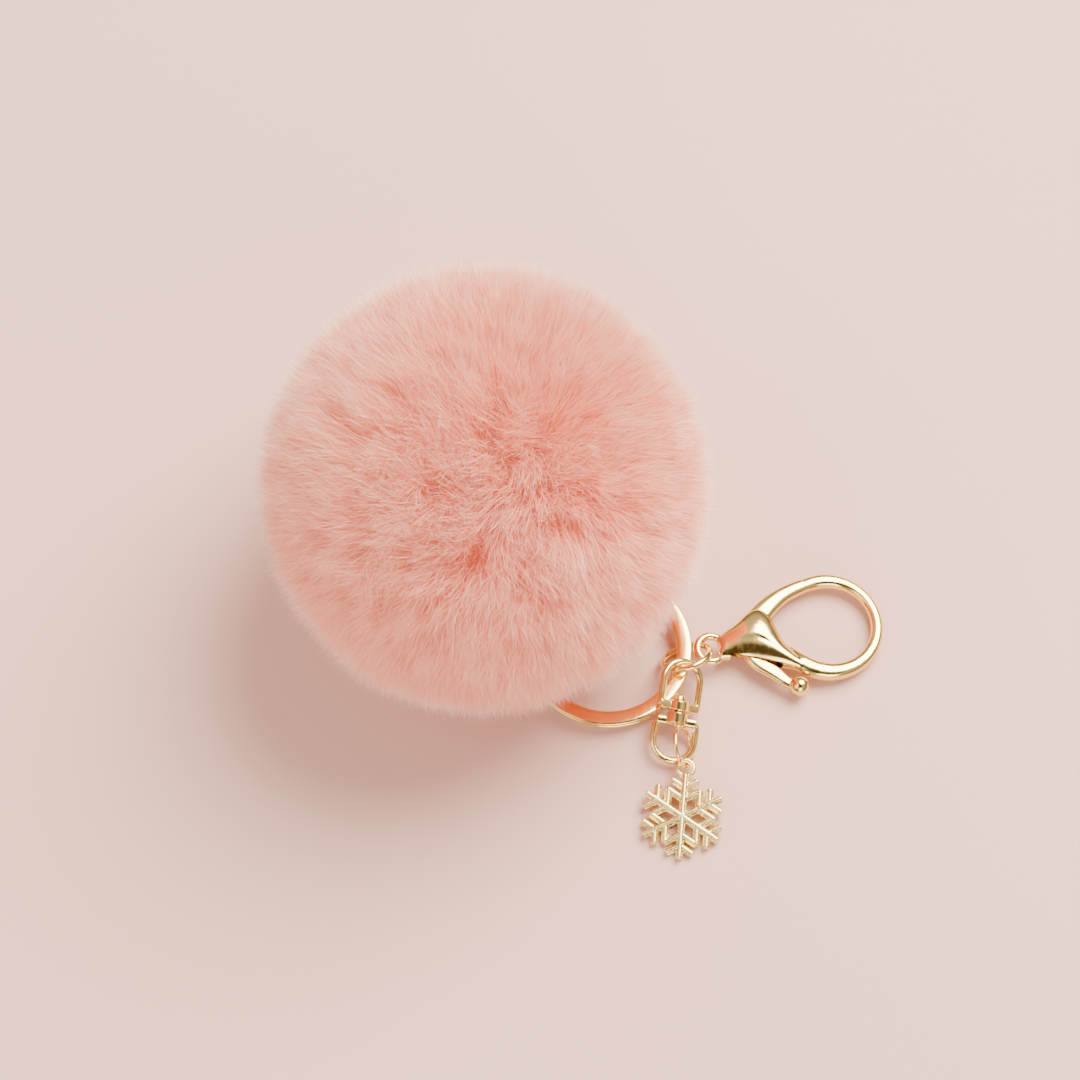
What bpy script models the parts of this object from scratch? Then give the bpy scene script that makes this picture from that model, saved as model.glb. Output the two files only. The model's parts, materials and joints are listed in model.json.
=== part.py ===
"""Plush keychain: a fur pompom on a split ring, with a lobster clasp and a swivelling snowflake charm.

The keychain lies flat. The frame's origin is on the surface, under the middle of the pompom,
+X runs along the clasp and +Y away from the charm. Sizes are in metres.
"""

import math

import bmesh
import bpy
from mathutils import Matrix, Vector

MM = 0.001
UP = Vector((0.0, 0.0, 1.0))

SHARP_ANGLE = math.radians(40.0)

# pompom: fur on a knitted backing, pulled shut round the cord by a gathering thread
FUR_R = 39.5 * MM
POMPOM_CENTRE = Vector((0.0, 0.0, 35.3 * MM))
PILE_ROOT_R = 23.9 * MM
BACKING_OUTER_R = 23.6 * MM
BACKING_INNER_R = 22.9 * MM
STUFFING_R = 22.1 * MM
MOUTH_R = 2.95 * MM
PILE_BORE_R = 3.4 * MM
THREAD_LOOP_R = 2.45 * MM
THREAD_R = 0.3 * MM
KNOT_R = 2.4 * MM
KNOT_STRETCH = (1.15, 0.95, 0.85)
KNOT_POCKET_R = 3.3 * MM
RING_DENT_MARGIN = 1.2 * MM

# split ring: two flat coils, one on the other, joined by a short step
RING_CENTRE = Vector((21.9 * MM, -17.0 * MM, 2.95 * MM))
RING_OUTER_R = 15.0 * MM
RING_BAND_WIDTH = 2.7 * MM
COIL_THICKNESS = 0.9 * MM
COIL_GAP = 0.1 * MM
STEP_START = math.radians(82.0)
STEP_ANGLE = math.radians(30.0)
RING_MID_R = RING_OUTER_R - RING_BAND_WIDTH / 2

# hanging cord, looped round the split ring's band where it comes closest to the pompom's middle
CORD_R = 0.55 * MM
CORD_LOOP_R = 2.35 * MM
CORD_STRAND_OFFSET = 0.78 * MM
KNOT_DISTANCE = 17.2 * MM
RING_TO_AXIS = Vector((-RING_CENTRE.x, -RING_CENTRE.y, 0.0)).normalized()
CORD_POINT = RING_CENTRE + RING_TO_AXIS * RING_MID_R
CORD_REACH = (CORD_POINT - POMPOM_CENTRE).length
CORD_AXIS = (CORD_POINT - POMPOM_CENTRE).normalized()
CORD_TANGENT = UP.cross(RING_TO_AXIS).normalized()
CORD_SIDE = CORD_TANGENT.cross(CORD_AXIS).normalized()

# link ring: a round jump ring through the split ring, the clasp's eye and the swivel's arch
LINK_CENTRE = Vector((35.91 * MM, -18.88 * MM, 3.58 * MM))
LINK_NORMAL = Vector((-0.296, 0.624, 0.723)).normalized()
LINK_R = 4.31 * MM
LINK_WIRE_R = 0.6 * MM

# lobster clasp, drawn flat around its eye: +X to the hook, +Y to the gate
CLASP_EYE = Vector((40.3 * MM, -17.3 * MM, 3.75 * MM))
CLASP_DROP = math.radians(3.6)
EYE_R = 2.45 * MM
EYE_WIRE_R = 0.78 * MM
HOOK_CENTRE = (21.4 * MM, 4.85 * MM)
HOOK_R = 8.85 * MM
HOOK_TIP_ANGLE = math.radians(124.0)
HOOK_ROOT_ANGLE = math.radians(-128.0)
HOOK_WIRE_R = 1.15 * MM
HOOK_ROOT_WIRE_R = 1.7 * MM
SEAM = Vector((16.6 * MM, 13.2 * MM, 0.0))
SEAM_NORMAL = Vector((0.62, 0.785, 0.0)).normalized()
SEAM_GAP = 0.25 * MM
GATE_TIP_WIDTH = 2.0 * MM
BODY_HALF = 2.6 * MM
BODY_BEVEL = 0.9 * MM
SLOT_HALF = 1.35 * MM
TRIGGER_HALF = 1.05 * MM
TRIGGER_BEVEL = 0.25 * MM
PIVOT = (6.2 * MM, 1.6 * MM)
PIN_R = 0.6 * MM
PIN_HOLE_R = 0.78 * MM
PIN_LENGTH = 4.8 * MM
THUMB_BALL = (15.9 * MM, -6.8 * MM)
THUMB_BALL_R = 1.65 * MM
SPRING_WIRE_R = 0.16 * MM
SPRING_COIL_R = 1.35 * MM
SPRING_TURNS = 2
SPRING_PITCH = 0.42 * MM
SPRING_POCKET_R = 2.1 * MM
SPRING_POCKET_FLOOR = -0.25 * MM

# swivel: an arched upper loop and a U-shaped lower loop joined by a rivet, drawn along -Y from the arch
SWIVEL_TOP = Vector((35.5 * MM, -20.66 * MM, 5.9 * MM))
SWIVEL_FOOT = Vector((32.9 * MM, -38.0 * MM, 1.7 * MM))
UPPER_ROLL = math.radians(28.0)
LOWER_ROLL = math.radians(6.0)
LOOP_HALF_WIDTH = 3.7 * MM
UPPER_WIRE_R = 0.5 * MM
LOWER_WIRE_R = 0.56 * MM
UPPER_BAR_Y = -8.2 * MM
LOWER_BAR_Y = -10.9 * MM
LOWER_CORNER_R = 1.9 * MM
BAR_R = 0.72 * MM
UPPER_BOSS_R = 1.25 * MM
UPPER_BOSS_LENGTH = 1.9 * MM
LOWER_BOSS_R = 1.0 * MM
BOSS_GAP = 0.2 * MM
RIVET_R = 0.45 * MM
RIVET_HOLE_R = 0.65 * MM
RIVET_HEAD_R = 0.95 * MM
RIVET_HEAD_HEIGHT = 1.3 * MM

# charm ring and snowflake
CHARM_RING_CENTRE = Vector((35.1 * MM, -36.2 * MM, 3.75 * MM))
CHARM_RING_NORMAL = Vector((0.9, 0.0, 0.43)).normalized()
CHARM_RING_R = 3.6 * MM
CHARM_RING_WIRE_R = 0.4 * MM
CHARM_CENTRE = Vector((34.75 * MM, -48.6 * MM, 1.75 * MM))
CHARM_TILT = math.radians(6.5)
CHARM_TURN = math.radians(-5.0)
ARM_LENGTH = 8.2 * MM
ARM_WIDTH = 1.05 * MM
BRANCH_WIDTH = 0.85 * MM
BRANCH_ANGLE = math.radians(58.0)
BRANCHES = ((2.9 * MM, 1.75 * MM), (5.3 * MM, 2.4 * MM))
CHARM_THICKNESS = 1.5 * MM
CHARM_EYE_Y = 8.85 * MM
CHARM_EYE_R = 1.42 * MM
CHARM_EYE_WIRE_R = 0.44 * MM

GOLD = (0.86, 0.68, 0.42)
PALE_GOLD = (0.80, 0.70, 0.45)
STEEL = (0.62, 0.60, 0.58)
CORAL = (0.88, 0.50, 0.42)
PINK_KNIT = (0.78, 0.42, 0.36)
WHITE_FILL = (0.86, 0.84, 0.80)
THREAD = (0.80, 0.46, 0.40)


def clear_scene():
    """Remove whatever the startup file brought."""
    for obj in list(bpy.data.objects):
        bpy.data.objects.remove(obj, do_unlink=True)


def new_collection(name):
    """Make a collection and link it to the scene."""
    collection = bpy.data.collections.new(name)
    bpy.context.scene.collection.children.link(collection)
    return collection


def make_material(name, colour, roughness, metallic):
    """A plain Principled material."""
    material = bpy.data.materials.new(name)
    material.use_nodes = True
    shader = material.node_tree.nodes["Principled BSDF"]
    shader.inputs["Base Color"].default_value = (*colour, 1.0)
    shader.inputs["Roughness"].default_value = roughness
    shader.inputs["Metallic"].default_value = metallic
    return material


def place(obj, collection, parent=None):
    """Put an object in a collection, under a parent's frame."""
    collection.objects.link(obj)
    if parent is not None:
        obj.parent = parent
    return obj


def mesh_object(name, bm, collection, parent=None, smooth=True):
    """Turn a bmesh into a placed object, smooth except at real edges."""
    mesh = bpy.data.meshes.new(name)
    bm.to_mesh(mesh)
    bm.free()
    if smooth:
        mesh.shade_smooth()
        mesh.set_sharp_from_angle(angle=SHARP_ANGLE)
    return place(bpy.data.objects.new(name, mesh), collection, parent)


def frame_of(origin, x_axis, y_axis):
    """The matrix of a frame from its origin and two square axes."""
    z_axis = x_axis.cross(y_axis)
    rotation = Matrix((x_axis, y_axis, z_axis)).transposed().to_4x4()
    return Matrix.Translation(origin) @ rotation


def ring_frame(centre, normal):
    """A frame whose Z axis is a ring's axis and whose X axis is level."""
    x_axis = UP.cross(normal).normalized()
    return frame_of(centre, x_axis, normal.cross(x_axis))


def along(origin, direction):
    """A frame whose Z axis runs along a direction."""
    rotation = direction.to_track_quat("Z", "Y").to_matrix().to_4x4()
    return Matrix.Translation(origin) @ rotation


def add_empty(name, matrix, collection, parent=None):
    """An empty that carries a sub-assembly's frame."""
    empty = bpy.data.objects.new(name, None)
    empty.empty_display_size = 4 * MM
    place(empty, collection, parent)
    empty.matrix_world = matrix
    return empty


def ball(radius, centre=Vector(), segments=24, rings=12):
    """A sphere as a bmesh."""
    bm = bmesh.new()
    bmesh.ops.create_uvsphere(
        bm, u_segments=segments, v_segments=rings, radius=radius, matrix=Matrix.Translation(centre)
    )
    return bm


def cylinder(radius, length, matrix=Matrix.Identity(4), segments=24):
    """A capped cylinder as a bmesh, centred on the matrix's origin, along its Z axis."""
    bm = bmesh.new()
    bmesh.ops.create_cone(
        bm,
        cap_ends=True,
        segments=segments,
        radius1=radius,
        radius2=radius,
        depth=length,
        matrix=matrix,
    )
    return bm


def curve_object(name, splines, collection, parent=None, **settings):
    """A curve object from (points, radii, closed) polylines."""
    curve = bpy.data.curves.new(name, "CURVE")
    curve.dimensions = settings.pop("dimensions", "3D")
    for points, radii, closed in splines:
        spline = curve.splines.new("POLY")
        spline.points.add(len(points) - 1)
        for knot, point, radius in zip(spline.points, points, radii or [1.0] * len(points)):
            knot.co = (*point, 0.0, 1.0) if len(point) == 2 else (*point, 1.0)
            knot.radius = radius
        spline.use_cyclic_u = closed
    for key, value in settings.items():
        setattr(curve, key, value)
    return place(bpy.data.objects.new(name, curve), collection, parent)


def wire(name, points, radius, collection, parent=None, radii=None, closed=False, sides=2):
    """A round wire along a polyline."""
    return curve_object(
        name,
        [(points, radii, closed)],
        collection,
        parent,
        bevel_depth=radius,
        bevel_resolution=sides,
        use_fill_caps=True,
    )


def plate(name, outline, half, collection, parent=None, bevel=0.0):
    """A flat outline given thickness on both sides of its own plane."""
    return curve_object(
        name,
        [(outline, None, True)],
        collection,
        parent,
        dimensions="2D",
        fill_mode="BOTH",
        extrude=half - bevel,
        bevel_depth=bevel,
        bevel_resolution=0,
        offset=-bevel,
    )


def to_mesh(obj):
    """Replace a curve object by its welded mesh, in the same place."""
    bpy.context.view_layer.update()
    evaluated = obj.evaluated_get(bpy.context.evaluated_depsgraph_get())
    mesh = bpy.data.meshes.new_from_object(evaluated)
    bm = bmesh.new()
    bm.from_mesh(mesh)
    bmesh.ops.remove_doubles(bm, verts=bm.verts, dist=0.002 * MM)
    bmesh.ops.recalc_face_normals(bm, faces=bm.faces)
    bm.to_mesh(mesh)
    bm.free()
    name = obj.name
    matrix = obj.matrix_world.copy()
    parent = obj.parent
    collection = obj.users_collection[0]
    bpy.data.objects.remove(obj)
    mesh.shade_smooth()
    mesh.set_sharp_from_angle(angle=SHARP_ANGLE)
    made = place(bpy.data.objects.new(name, mesh), collection, parent)
    made.matrix_world = matrix
    return made


def combine(target, tool, operation):
    """Join a hidden tool to a mesh object, or cut it away."""
    tool.hide_render = True
    tool.display_type = "WIRE"
    modifier = target.modifiers.new(tool.name, "BOOLEAN")
    modifier.operation = operation
    modifier.solver = "EXACT"
    modifier.object = tool


def dress(obj, material):
    """Give an object its one material."""
    obj.data.materials.clear()
    obj.data.materials.append(material)
    return obj


def arc(centre, radius, start, end, steps):
    """Points on a flat arc."""
    cx, cy = centre
    angles = [start + (end - start) * i / steps for i in range(steps + 1)]
    return [(cx + radius * math.cos(a), cy + radius * math.sin(a)) for a in angles]


def circle(radius, steps):
    """The points of a flat circle, for a closed line."""
    return arc((0.0, 0.0), radius, 0.0, 2 * math.pi, steps)[:-1]


def flat(points, height=0.0):
    """Lift flat points to three coordinates."""
    return [(x, y, height) for x, y in points]


def scaled(points):
    """An outline drawn in millimetres, in metres."""
    return [(x * MM, y * MM) for x, y in points]


def jump_ring_points(radius, steps, gap=math.radians(1.6)):
    """A round ring's centre line, open by the hairline where its ends meet."""
    return flat(arc((0.0, 0.0), radius, gap / 2, 2 * math.pi - gap / 2, steps))


def build_pompom(parts, tools, materials):
    """The fur, its backing, the stuffing, the gathering thread and the hanging cord."""
    bore_frame = along(POMPOM_CENTRE + CORD_AXIS * CORD_REACH / 2, CORD_AXIS)
    bore_length = CORD_REACH + 4 * MM
    dent_height = 6 * MM
    dent_top = RING_CENTRE.z + COIL_THICKNESS + 0.8 * MM
    dent_centre = Vector((RING_CENTRE.x, RING_CENTRE.y, dent_top - dent_height / 2))
    slab_depth = 20 * MM
    slab_width = 2.5 * FUR_R
    slab_shape = Matrix.Diagonal((slab_width, slab_width, slab_depth, 1.0))
    slab = bmesh.new()
    bmesh.ops.create_cube(slab, size=1.0, matrix=slab_shape)
    bmesh.ops.translate(slab, verts=slab.verts, vec=(0.0, 0.0, -slab_depth / 2))

    fur = mesh_object("fur_pile", ball(FUR_R, POMPOM_CENTRE, 36, 20), parts)
    combine(fur, mesh_object("pile_hollow", ball(PILE_ROOT_R, POMPOM_CENTRE, 24, 12), tools), "DIFFERENCE")
    combine(fur, mesh_object("table_flat", slab, tools), "DIFFERENCE")
    ring_dent = cylinder(RING_OUTER_R + RING_DENT_MARGIN, dent_height, Matrix.Translation(dent_centre), 32)
    combine(fur, mesh_object("ring_dent", ring_dent, tools), "DIFFERENCE")
    pile_bore = cylinder(PILE_BORE_R, bore_length, bore_frame, 16)
    combine(fur, mesh_object("pile_bore", pile_bore, tools), "DIFFERENCE")
    dress(fur, materials["fur"])

    backing = mesh_object("fur_backing", ball(BACKING_OUTER_R, POMPOM_CENTRE, 24, 12), parts)
    hollow = ball(BACKING_INNER_R, POMPOM_CENTRE, 24, 12)
    combine(backing, mesh_object("backing_hollow", hollow, tools), "DIFFERENCE")
    mouth = cylinder(MOUTH_R, bore_length, bore_frame, 16)
    combine(backing, mesh_object("backing_mouth", mouth, tools), "DIFFERENCE")
    dress(backing, materials["backing"])

    stuffing = mesh_object("stuffing_ball", ball(STUFFING_R, POMPOM_CENTRE, 20, 10), parts)
    pocket_from = KNOT_DISTANCE - KNOT_POCKET_R
    pocket_length = 12 * MM
    pocket_frame = along(POMPOM_CENTRE + CORD_AXIS * (pocket_from + pocket_length / 2), CORD_AXIS)
    pocket = cylinder(KNOT_POCKET_R, pocket_length, pocket_frame, 16)
    combine(stuffing, mesh_object("knot_pocket", pocket, tools), "DIFFERENCE")
    dress(stuffing, materials["stuffing"])

    knot = ball(KNOT_R, segments=12, rings=8)
    bmesh.ops.scale(knot, verts=knot.verts, vec=KNOT_STRETCH)
    knot = mesh_object("cord_knot", knot, parts)
    knot.matrix_world = along(POMPOM_CENTRE + CORD_AXIS * KNOT_DISTANCE, CORD_AXIS)
    dress(knot, materials["cord"])

    thread_points = flat(circle(THREAD_LOOP_R, 20))
    thread = wire("gather_thread", thread_points, THREAD_R, parts, closed=True, sides=1)
    thread.matrix_world = along(POMPOM_CENTRE + CORD_AXIS * (PILE_ROOT_R + 0.8 * MM), CORD_AXIS)
    dress(to_mesh(thread), materials["thread"])

    dress(wire("hanging_cord", cord_points(), CORD_R, parts), materials["cord"])


def cord_points():
    """One strand from the knot, round the ring's band, and back up beside the first."""
    half = []
    for step in range(9):
        angle = math.radians(14.0 * step)
        half.append(
            CORD_POINT
            + CORD_AXIS * CORD_LOOP_R * math.cos(angle)
            + CORD_SIDE * CORD_LOOP_R * math.sin(angle)
        )
    corner = half[-1]
    knot_end = KNOT_DISTANCE + KNOT_R
    strand = POMPOM_CENTRE + CORD_AXIS * (CORD_REACH - 7.5 * MM) + CORD_SIDE * CORD_STRAND_OFFSET
    for share in (0.3, 0.6, 1.0):
        eased = share * share * (3 - 2 * share)
        straight = corner.lerp(strand, share)
        sideways = corner.lerp(strand, eased) - straight
        half.append(straight + CORD_SIDE * sideways.dot(CORD_SIDE))
    half.append(POMPOM_CENTRE + CORD_AXIS * knot_end + CORD_SIDE * CORD_STRAND_OFFSET)
    other = [p - CORD_SIDE * 2 * (p - CORD_POINT).dot(CORD_SIDE) for p in half]
    return list(reversed(other))[:-1] + half


def band_profile():
    """The flat wire's section, a rectangle with its corners cut."""
    half_width = RING_BAND_WIDTH / 2
    half_height = COIL_THICKNESS / 2
    corner = 0.25 * MM
    profile = []
    for side, level in ((1, 1), (-1, 1), (-1, -1), (1, -1)):
        on_side = (side * half_width, level * (half_height - corner))
        on_face = (side * (half_width - corner), level * half_height)
        profile += [on_side, on_face] if side * level > 0 else [on_face, on_side]
    return profile


def build_split_ring(parts, tools, materials):
    """Two turns of flat wire, with a short step from the lower coil to the upper one."""
    rise = COIL_THICKNESS + COIL_GAP
    turn = 2 * math.pi
    steps = 80
    end_gap = math.radians(3.0)
    total = 2 * turn - STEP_ANGLE - 2 * end_gap
    first = STEP_START + STEP_ANGLE + end_gap
    points = []
    for i in range(steps + 1):
        travelled = total * i / steps
        into_step = (travelled + end_gap - (turn - STEP_ANGLE)) / STEP_ANGLE
        share = min(max(into_step, 0.0), 1.0)
        height = rise * (share * share * (3 - 2 * share) - 0.5)
        angle = first + travelled
        points.append((RING_MID_R * math.cos(angle), RING_MID_R * math.sin(angle), height))
    section = curve_object("band_section", [(band_profile(), None, True)], tools, dimensions="2D")
    section.hide_render = True
    section.display_type = "WIRE"
    ring = curve_object(
        "split_ring",
        [(points, None, False)],
        parts,
        twist_mode="Z_UP",
        bevel_mode="OBJECT",
        bevel_object=section,
        use_fill_caps=True,
    )
    ring.location = RING_CENTRE
    dress(to_mesh(ring), materials["gold"])


def build_link_ring(parts, materials):
    """The jump ring that joins the split ring, the clasp and the swivel."""
    ring = wire("link_ring", jump_ring_points(LINK_R, 40), LINK_WIRE_R, parts)
    ring.matrix_world = ring_frame(LINK_CENTRE, LINK_NORMAL)
    dress(to_mesh(ring), materials["gold"])


def clasp_body_outline():
    """The clasp body seen from above, from the eye round the gate's mouth to the hook's root."""
    towards_gate = [(1.2, 2.1), (4.2, 4.9), (7.1, 7.4), (9.2, 7.5), (11.0, 6.1), (12.2, 3.8)]
    hook_root = [(13.4, 1.3), (15.2, -0.6), (17.4, -2.2), (16.4, -4.9), (14.2, -4.0)]
    underside = [(11.0, -2.7), (6.5, -2.0), (2.6, -2.4), (0.8, -2.2)]
    return scaled(towards_gate + hook_root + underside)


def slot_outline():
    """The space between the body's two cheeks, open at the gate and at the thumb lever."""
    back_wall = [(3.4, 9.5), (3.4, -6.0), (12.6, -6.0)]
    front_wall = [(13.0, -1.5), (12.7, 0.8), (12.0, 2.6), (13.2, 4.5), (13.0, 9.5)]
    return scaled(back_wall + front_wall)


def trigger_outline():
    """Gate arm, hub and thumb lever as one flat piece, from the gate's tip round the outside."""
    across = Vector((SEAM_NORMAL.y, -SEAM_NORMAL.x, 0.0)) * GATE_TIP_WIDTH / 2
    tip = SEAM - SEAM_NORMAL * SEAM_GAP / 2
    tip_face = [(tip + across).xy.to_tuple(), (tip - across).xy.to_tuple()]
    gate_outside = [(12.7, 12.1), (10.0, 10.3), (7.2, 7.4), (5.0, 4.2)]
    hub = [(4.2, 2.2), (4.3, 0.2), (5.2, -1.6)]
    lever = [(8.4, -3.4), (11.3, -5.0), (13.3, -7.4), (15.0, -7.6), (15.2, -6.2), (13.6, -5.4), (11.8, -3.6)]
    gate_inside = [(9.2, -1.4), (8.4, 1.4), (9.2, 3.6), (10.6, 5.9), (12.6, 8.6), (14.8, 10.6)]
    return tip_face + scaled(gate_outside + hub + lever + gate_inside)


def build_clasp(parts, tools, materials):
    """The clasp's body with hook and eye, its trigger, the trigger's pin and its spring."""
    tilt = Matrix.Rotation(CLASP_DROP, 4, "Y")
    clasp_frame = add_empty("clasp_frame", Matrix.Translation(CLASP_EYE) @ tilt, parts)
    pin_place = Matrix.Translation((*PIVOT, 0.0))
    pin_frame = add_empty("trigger_axis", clasp_frame.matrix_world @ pin_place, parts, clasp_frame)

    body = to_mesh(plate("clasp_body", clasp_body_outline(), BODY_HALF, parts, clasp_frame, BODY_BEVEL))
    slot = to_mesh(plate("cheek_slot", slot_outline(), SLOT_HALF, tools, clasp_frame))
    combine(body, slot, "DIFFERENCE")
    hook_steps = 30
    taper_steps = 12
    hook_points = flat(arc(HOOK_CENTRE, HOOK_R, HOOK_ROOT_ANGLE, HOOK_TIP_ANGLE, hook_steps))
    swell = HOOK_ROOT_WIRE_R / HOOK_WIRE_R - 1.0
    taper = [1.0 + swell * max(1 - i / taper_steps, 0.0) for i in range(hook_steps + 1)]
    hook = to_mesh(wire("hook_wire", hook_points, HOOK_WIRE_R, tools, clasp_frame, taper, sides=3))
    combine(body, hook, "UNION")
    cut_size = 6 * MM
    cut_centre = SEAM + SEAM_NORMAL * (SEAM_GAP - cut_size) / 2
    cut_turn = Matrix.Rotation(math.atan2(SEAM_NORMAL.y, SEAM_NORMAL.x), 4, "Z")
    seam_cut = bmesh.new()
    bmesh.ops.create_cube(seam_cut, size=cut_size, matrix=Matrix.Translation(cut_centre) @ cut_turn)
    combine(body, mesh_object("seam_cut", seam_cut, tools, clasp_frame, smooth=False), "DIFFERENCE")
    eye_points = flat(circle(EYE_R, 28))
    eye = to_mesh(wire("eye_wire", eye_points, EYE_WIRE_R, tools, clasp_frame, closed=True))
    combine(body, eye, "UNION")
    pin_hole = cylinder(PIN_HOLE_R, 8 * MM, pin_place, 20)
    combine(body, mesh_object("pin_hole", pin_hole, tools, clasp_frame), "DIFFERENCE")
    dress(body, materials["gold"])

    outline = trigger_outline()
    trigger = to_mesh(plate("clasp_trigger", outline, TRIGGER_HALF, parts, clasp_frame, TRIGGER_BEVEL))
    thumb = ball(THUMB_BALL_R, Vector((*THUMB_BALL, 0.0)), 20, 12)
    combine(trigger, mesh_object("thumb_ball", thumb, tools, clasp_frame), "UNION")
    trigger_hole = cylinder(PIN_HOLE_R, 8 * MM, pin_place, 20)
    combine(trigger, mesh_object("trigger_hole", trigger_hole, tools, clasp_frame), "DIFFERENCE")
    pocket_length = 4 * MM
    pocket_place = Matrix.Translation((*PIVOT, SPRING_POCKET_FLOOR + pocket_length / 2))
    pocket = cylinder(SPRING_POCKET_R, pocket_length, pocket_place, 24)
    combine(trigger, mesh_object("spring_pocket", pocket, tools, clasp_frame), "DIFFERENCE")
    keep_world(trigger, pin_frame)
    dress(trigger, materials["gold"])

    pin = mesh_object("trigger_pin", cylinder(PIN_R, PIN_LENGTH, segments=20), parts, pin_frame)
    dress(pin, materials["gold"])

    spring = wire("trigger_spring", spring_points(), SPRING_WIRE_R, parts, pin_frame, sides=1)
    dress(to_mesh(spring), materials["steel"])


def spring_points():
    """A torsion spring's turns round the pin, rising from the pocket's floor."""
    base = SPRING_POCKET_FLOOR + 0.1 * MM + SPRING_WIRE_R
    steps_per_turn = 14
    coil = []
    for i in range(steps_per_turn * SPRING_TURNS + 1):
        angle = 2 * math.pi * i / steps_per_turn
        height = base + SPRING_PITCH * i / steps_per_turn
        coil.append((SPRING_COIL_R * math.cos(angle), SPRING_COIL_R * math.sin(angle), height))
    return coil


def keep_world(obj, parent):
    """Give an object another parent without moving it."""
    bpy.context.view_layer.update()
    matrix = obj.matrix_world.copy()
    obj.parent = parent
    obj.matrix_world = matrix


def swivel_frame(roll):
    """The swivel's frame at the top of its arch, rolled about its axis, left side up."""
    down = (SWIVEL_FOOT - SWIVEL_TOP).normalized()
    level_side = UP.cross(down).normalized()
    side = Matrix.Rotation(roll, 3, -down) @ level_side
    return frame_of(SWIVEL_TOP, side, -down)


def build_swivel(parts, tools, materials):
    """The upper loop, the lower loop and the rivet they turn on."""
    foot_y = -(SWIVEL_FOOT - SWIVEL_TOP).length
    upper_frame = add_empty("swivel_upper_frame", swivel_frame(UPPER_ROLL), parts)
    lower_frame = add_empty("swivel_lower_frame", swivel_frame(LOWER_ROLL), parts)
    lengthwise = Matrix.Rotation(math.radians(90.0), 4, "X")
    crosswise = Matrix.Rotation(math.radians(90.0), 4, "Y")

    arch_top = arc((0.0, -LOOP_HALF_WIDTH), LOOP_HALF_WIDTH, 0.0, math.pi, 16)
    arch = [(LOOP_HALF_WIDTH, UPPER_BAR_Y)] + arch_top + [(-LOOP_HALF_WIDTH, UPPER_BAR_Y)]
    upper = to_mesh(wire("swivel_upper_loop", flat(arch), UPPER_WIRE_R, parts, upper_frame))
    bar_length = 2 * (LOOP_HALF_WIDTH + UPPER_WIRE_R)
    bar = cylinder(BAR_R, bar_length, Matrix.Translation((0.0, UPPER_BAR_Y, 0.0)) @ crosswise, 16)
    combine(upper, mesh_object("upper_bar", bar, tools, upper_frame), "UNION")
    boss_place = Matrix.Translation((0.0, UPPER_BAR_Y, 0.0)) @ lengthwise
    boss = cylinder(UPPER_BOSS_R, UPPER_BOSS_LENGTH, boss_place, 20)
    combine(upper, mesh_object("upper_boss", boss, tools, upper_frame), "UNION")
    hole = cylinder(RIVET_HOLE_R, 6 * MM, boss_place, 16)
    combine(upper, mesh_object("rivet_hole", hole, tools, upper_frame), "DIFFERENCE")
    dress(upper, materials["gold"])

    bend = LOWER_CORNER_R
    inner = LOOP_HALF_WIDTH - bend
    right_corner = arc((inner, LOWER_BAR_Y - bend), bend, math.radians(90.0), 0.0, 5)
    u_bend = arc((0.0, foot_y + LOOP_HALF_WIDTH), LOOP_HALF_WIDTH, 0.0, -math.pi, 16)
    left_corner = arc((-inner, LOWER_BAR_Y - bend), bend, math.pi, math.radians(90.0), 5)
    path = flat(right_corner + u_bend + left_corner)
    lower = to_mesh(wire("swivel_lower_loop", path, LOWER_WIRE_R, parts, lower_frame, closed=True))
    bar = cylinder(BAR_R, 2 * inner + bend, Matrix.Translation((0.0, LOWER_BAR_Y, 0.0)) @ crosswise, 16)
    combine(lower, mesh_object("lower_bar", bar, tools, lower_frame), "UNION")
    boss_top = UPPER_BAR_Y - UPPER_BOSS_LENGTH / 2 - BOSS_GAP
    boss_bottom = LOWER_BAR_Y - 0.4 * MM
    boss_place = Matrix.Translation((0.0, (boss_top + boss_bottom) / 2, 0.0)) @ lengthwise
    boss = cylinder(LOWER_BOSS_R, boss_top - boss_bottom, boss_place, 20)
    combine(lower, mesh_object("lower_boss", boss, tools, lower_frame), "UNION")
    hole_bottom = LOWER_BAR_Y - 2 * MM
    hole_place = Matrix.Translation((0.0, (boss_top + hole_bottom) / 2 + 1 * MM, 0.0)) @ lengthwise
    hole = cylinder(RIVET_HOLE_R, boss_top - hole_bottom + 2 * MM, hole_place, 16)
    combine(lower, mesh_object("lower_rivet_hole", hole, tools, lower_frame), "DIFFERENCE")
    dress(lower, materials["gold"])

    head_base = UPPER_BAR_Y + UPPER_BOSS_LENGTH / 2 + BOSS_GAP
    rivet = rivet_mesh(head_base, LOWER_BAR_Y - BAR_R - 0.1 * MM)
    rivet = mesh_object("swivel_rivet", rivet, parts, lower_frame)
    rivet.rotation_euler = (math.radians(-90.0), 0.0, 0.0)
    screw = rivet.modifiers.new("turn", "SCREW")
    screw.steps = 20
    screw.render_steps = 20
    screw.merge_threshold = 0.00001
    screw.use_merge_vertices = True
    screw.use_normal_calculate = False
    dress(rivet, materials["gold"])


def rivet_mesh(head_base, foot):
    """The rivet's outline from the dome's top down to its foot, on +X, to be turned about Z."""
    dome = [(0.0, head_base + RIVET_HEAD_HEIGHT)]
    dome_steps = 5
    for step in range(1, dome_steps + 1):
        angle = math.radians(90.0 * (1 - step / dome_steps))
        dome.append((RIVET_HEAD_R * math.cos(angle), head_base + RIVET_HEAD_HEIGHT * math.sin(angle)))
    profile = dome + [(RIVET_R, head_base), (RIVET_R, foot), (0.0, foot)]
    bm = bmesh.new()
    verts = [bm.verts.new((x, 0.0, z)) for x, z in profile]
    for first, second in zip(verts, verts[1:]):
        bm.edges.new((first, second))
    return bm


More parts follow.
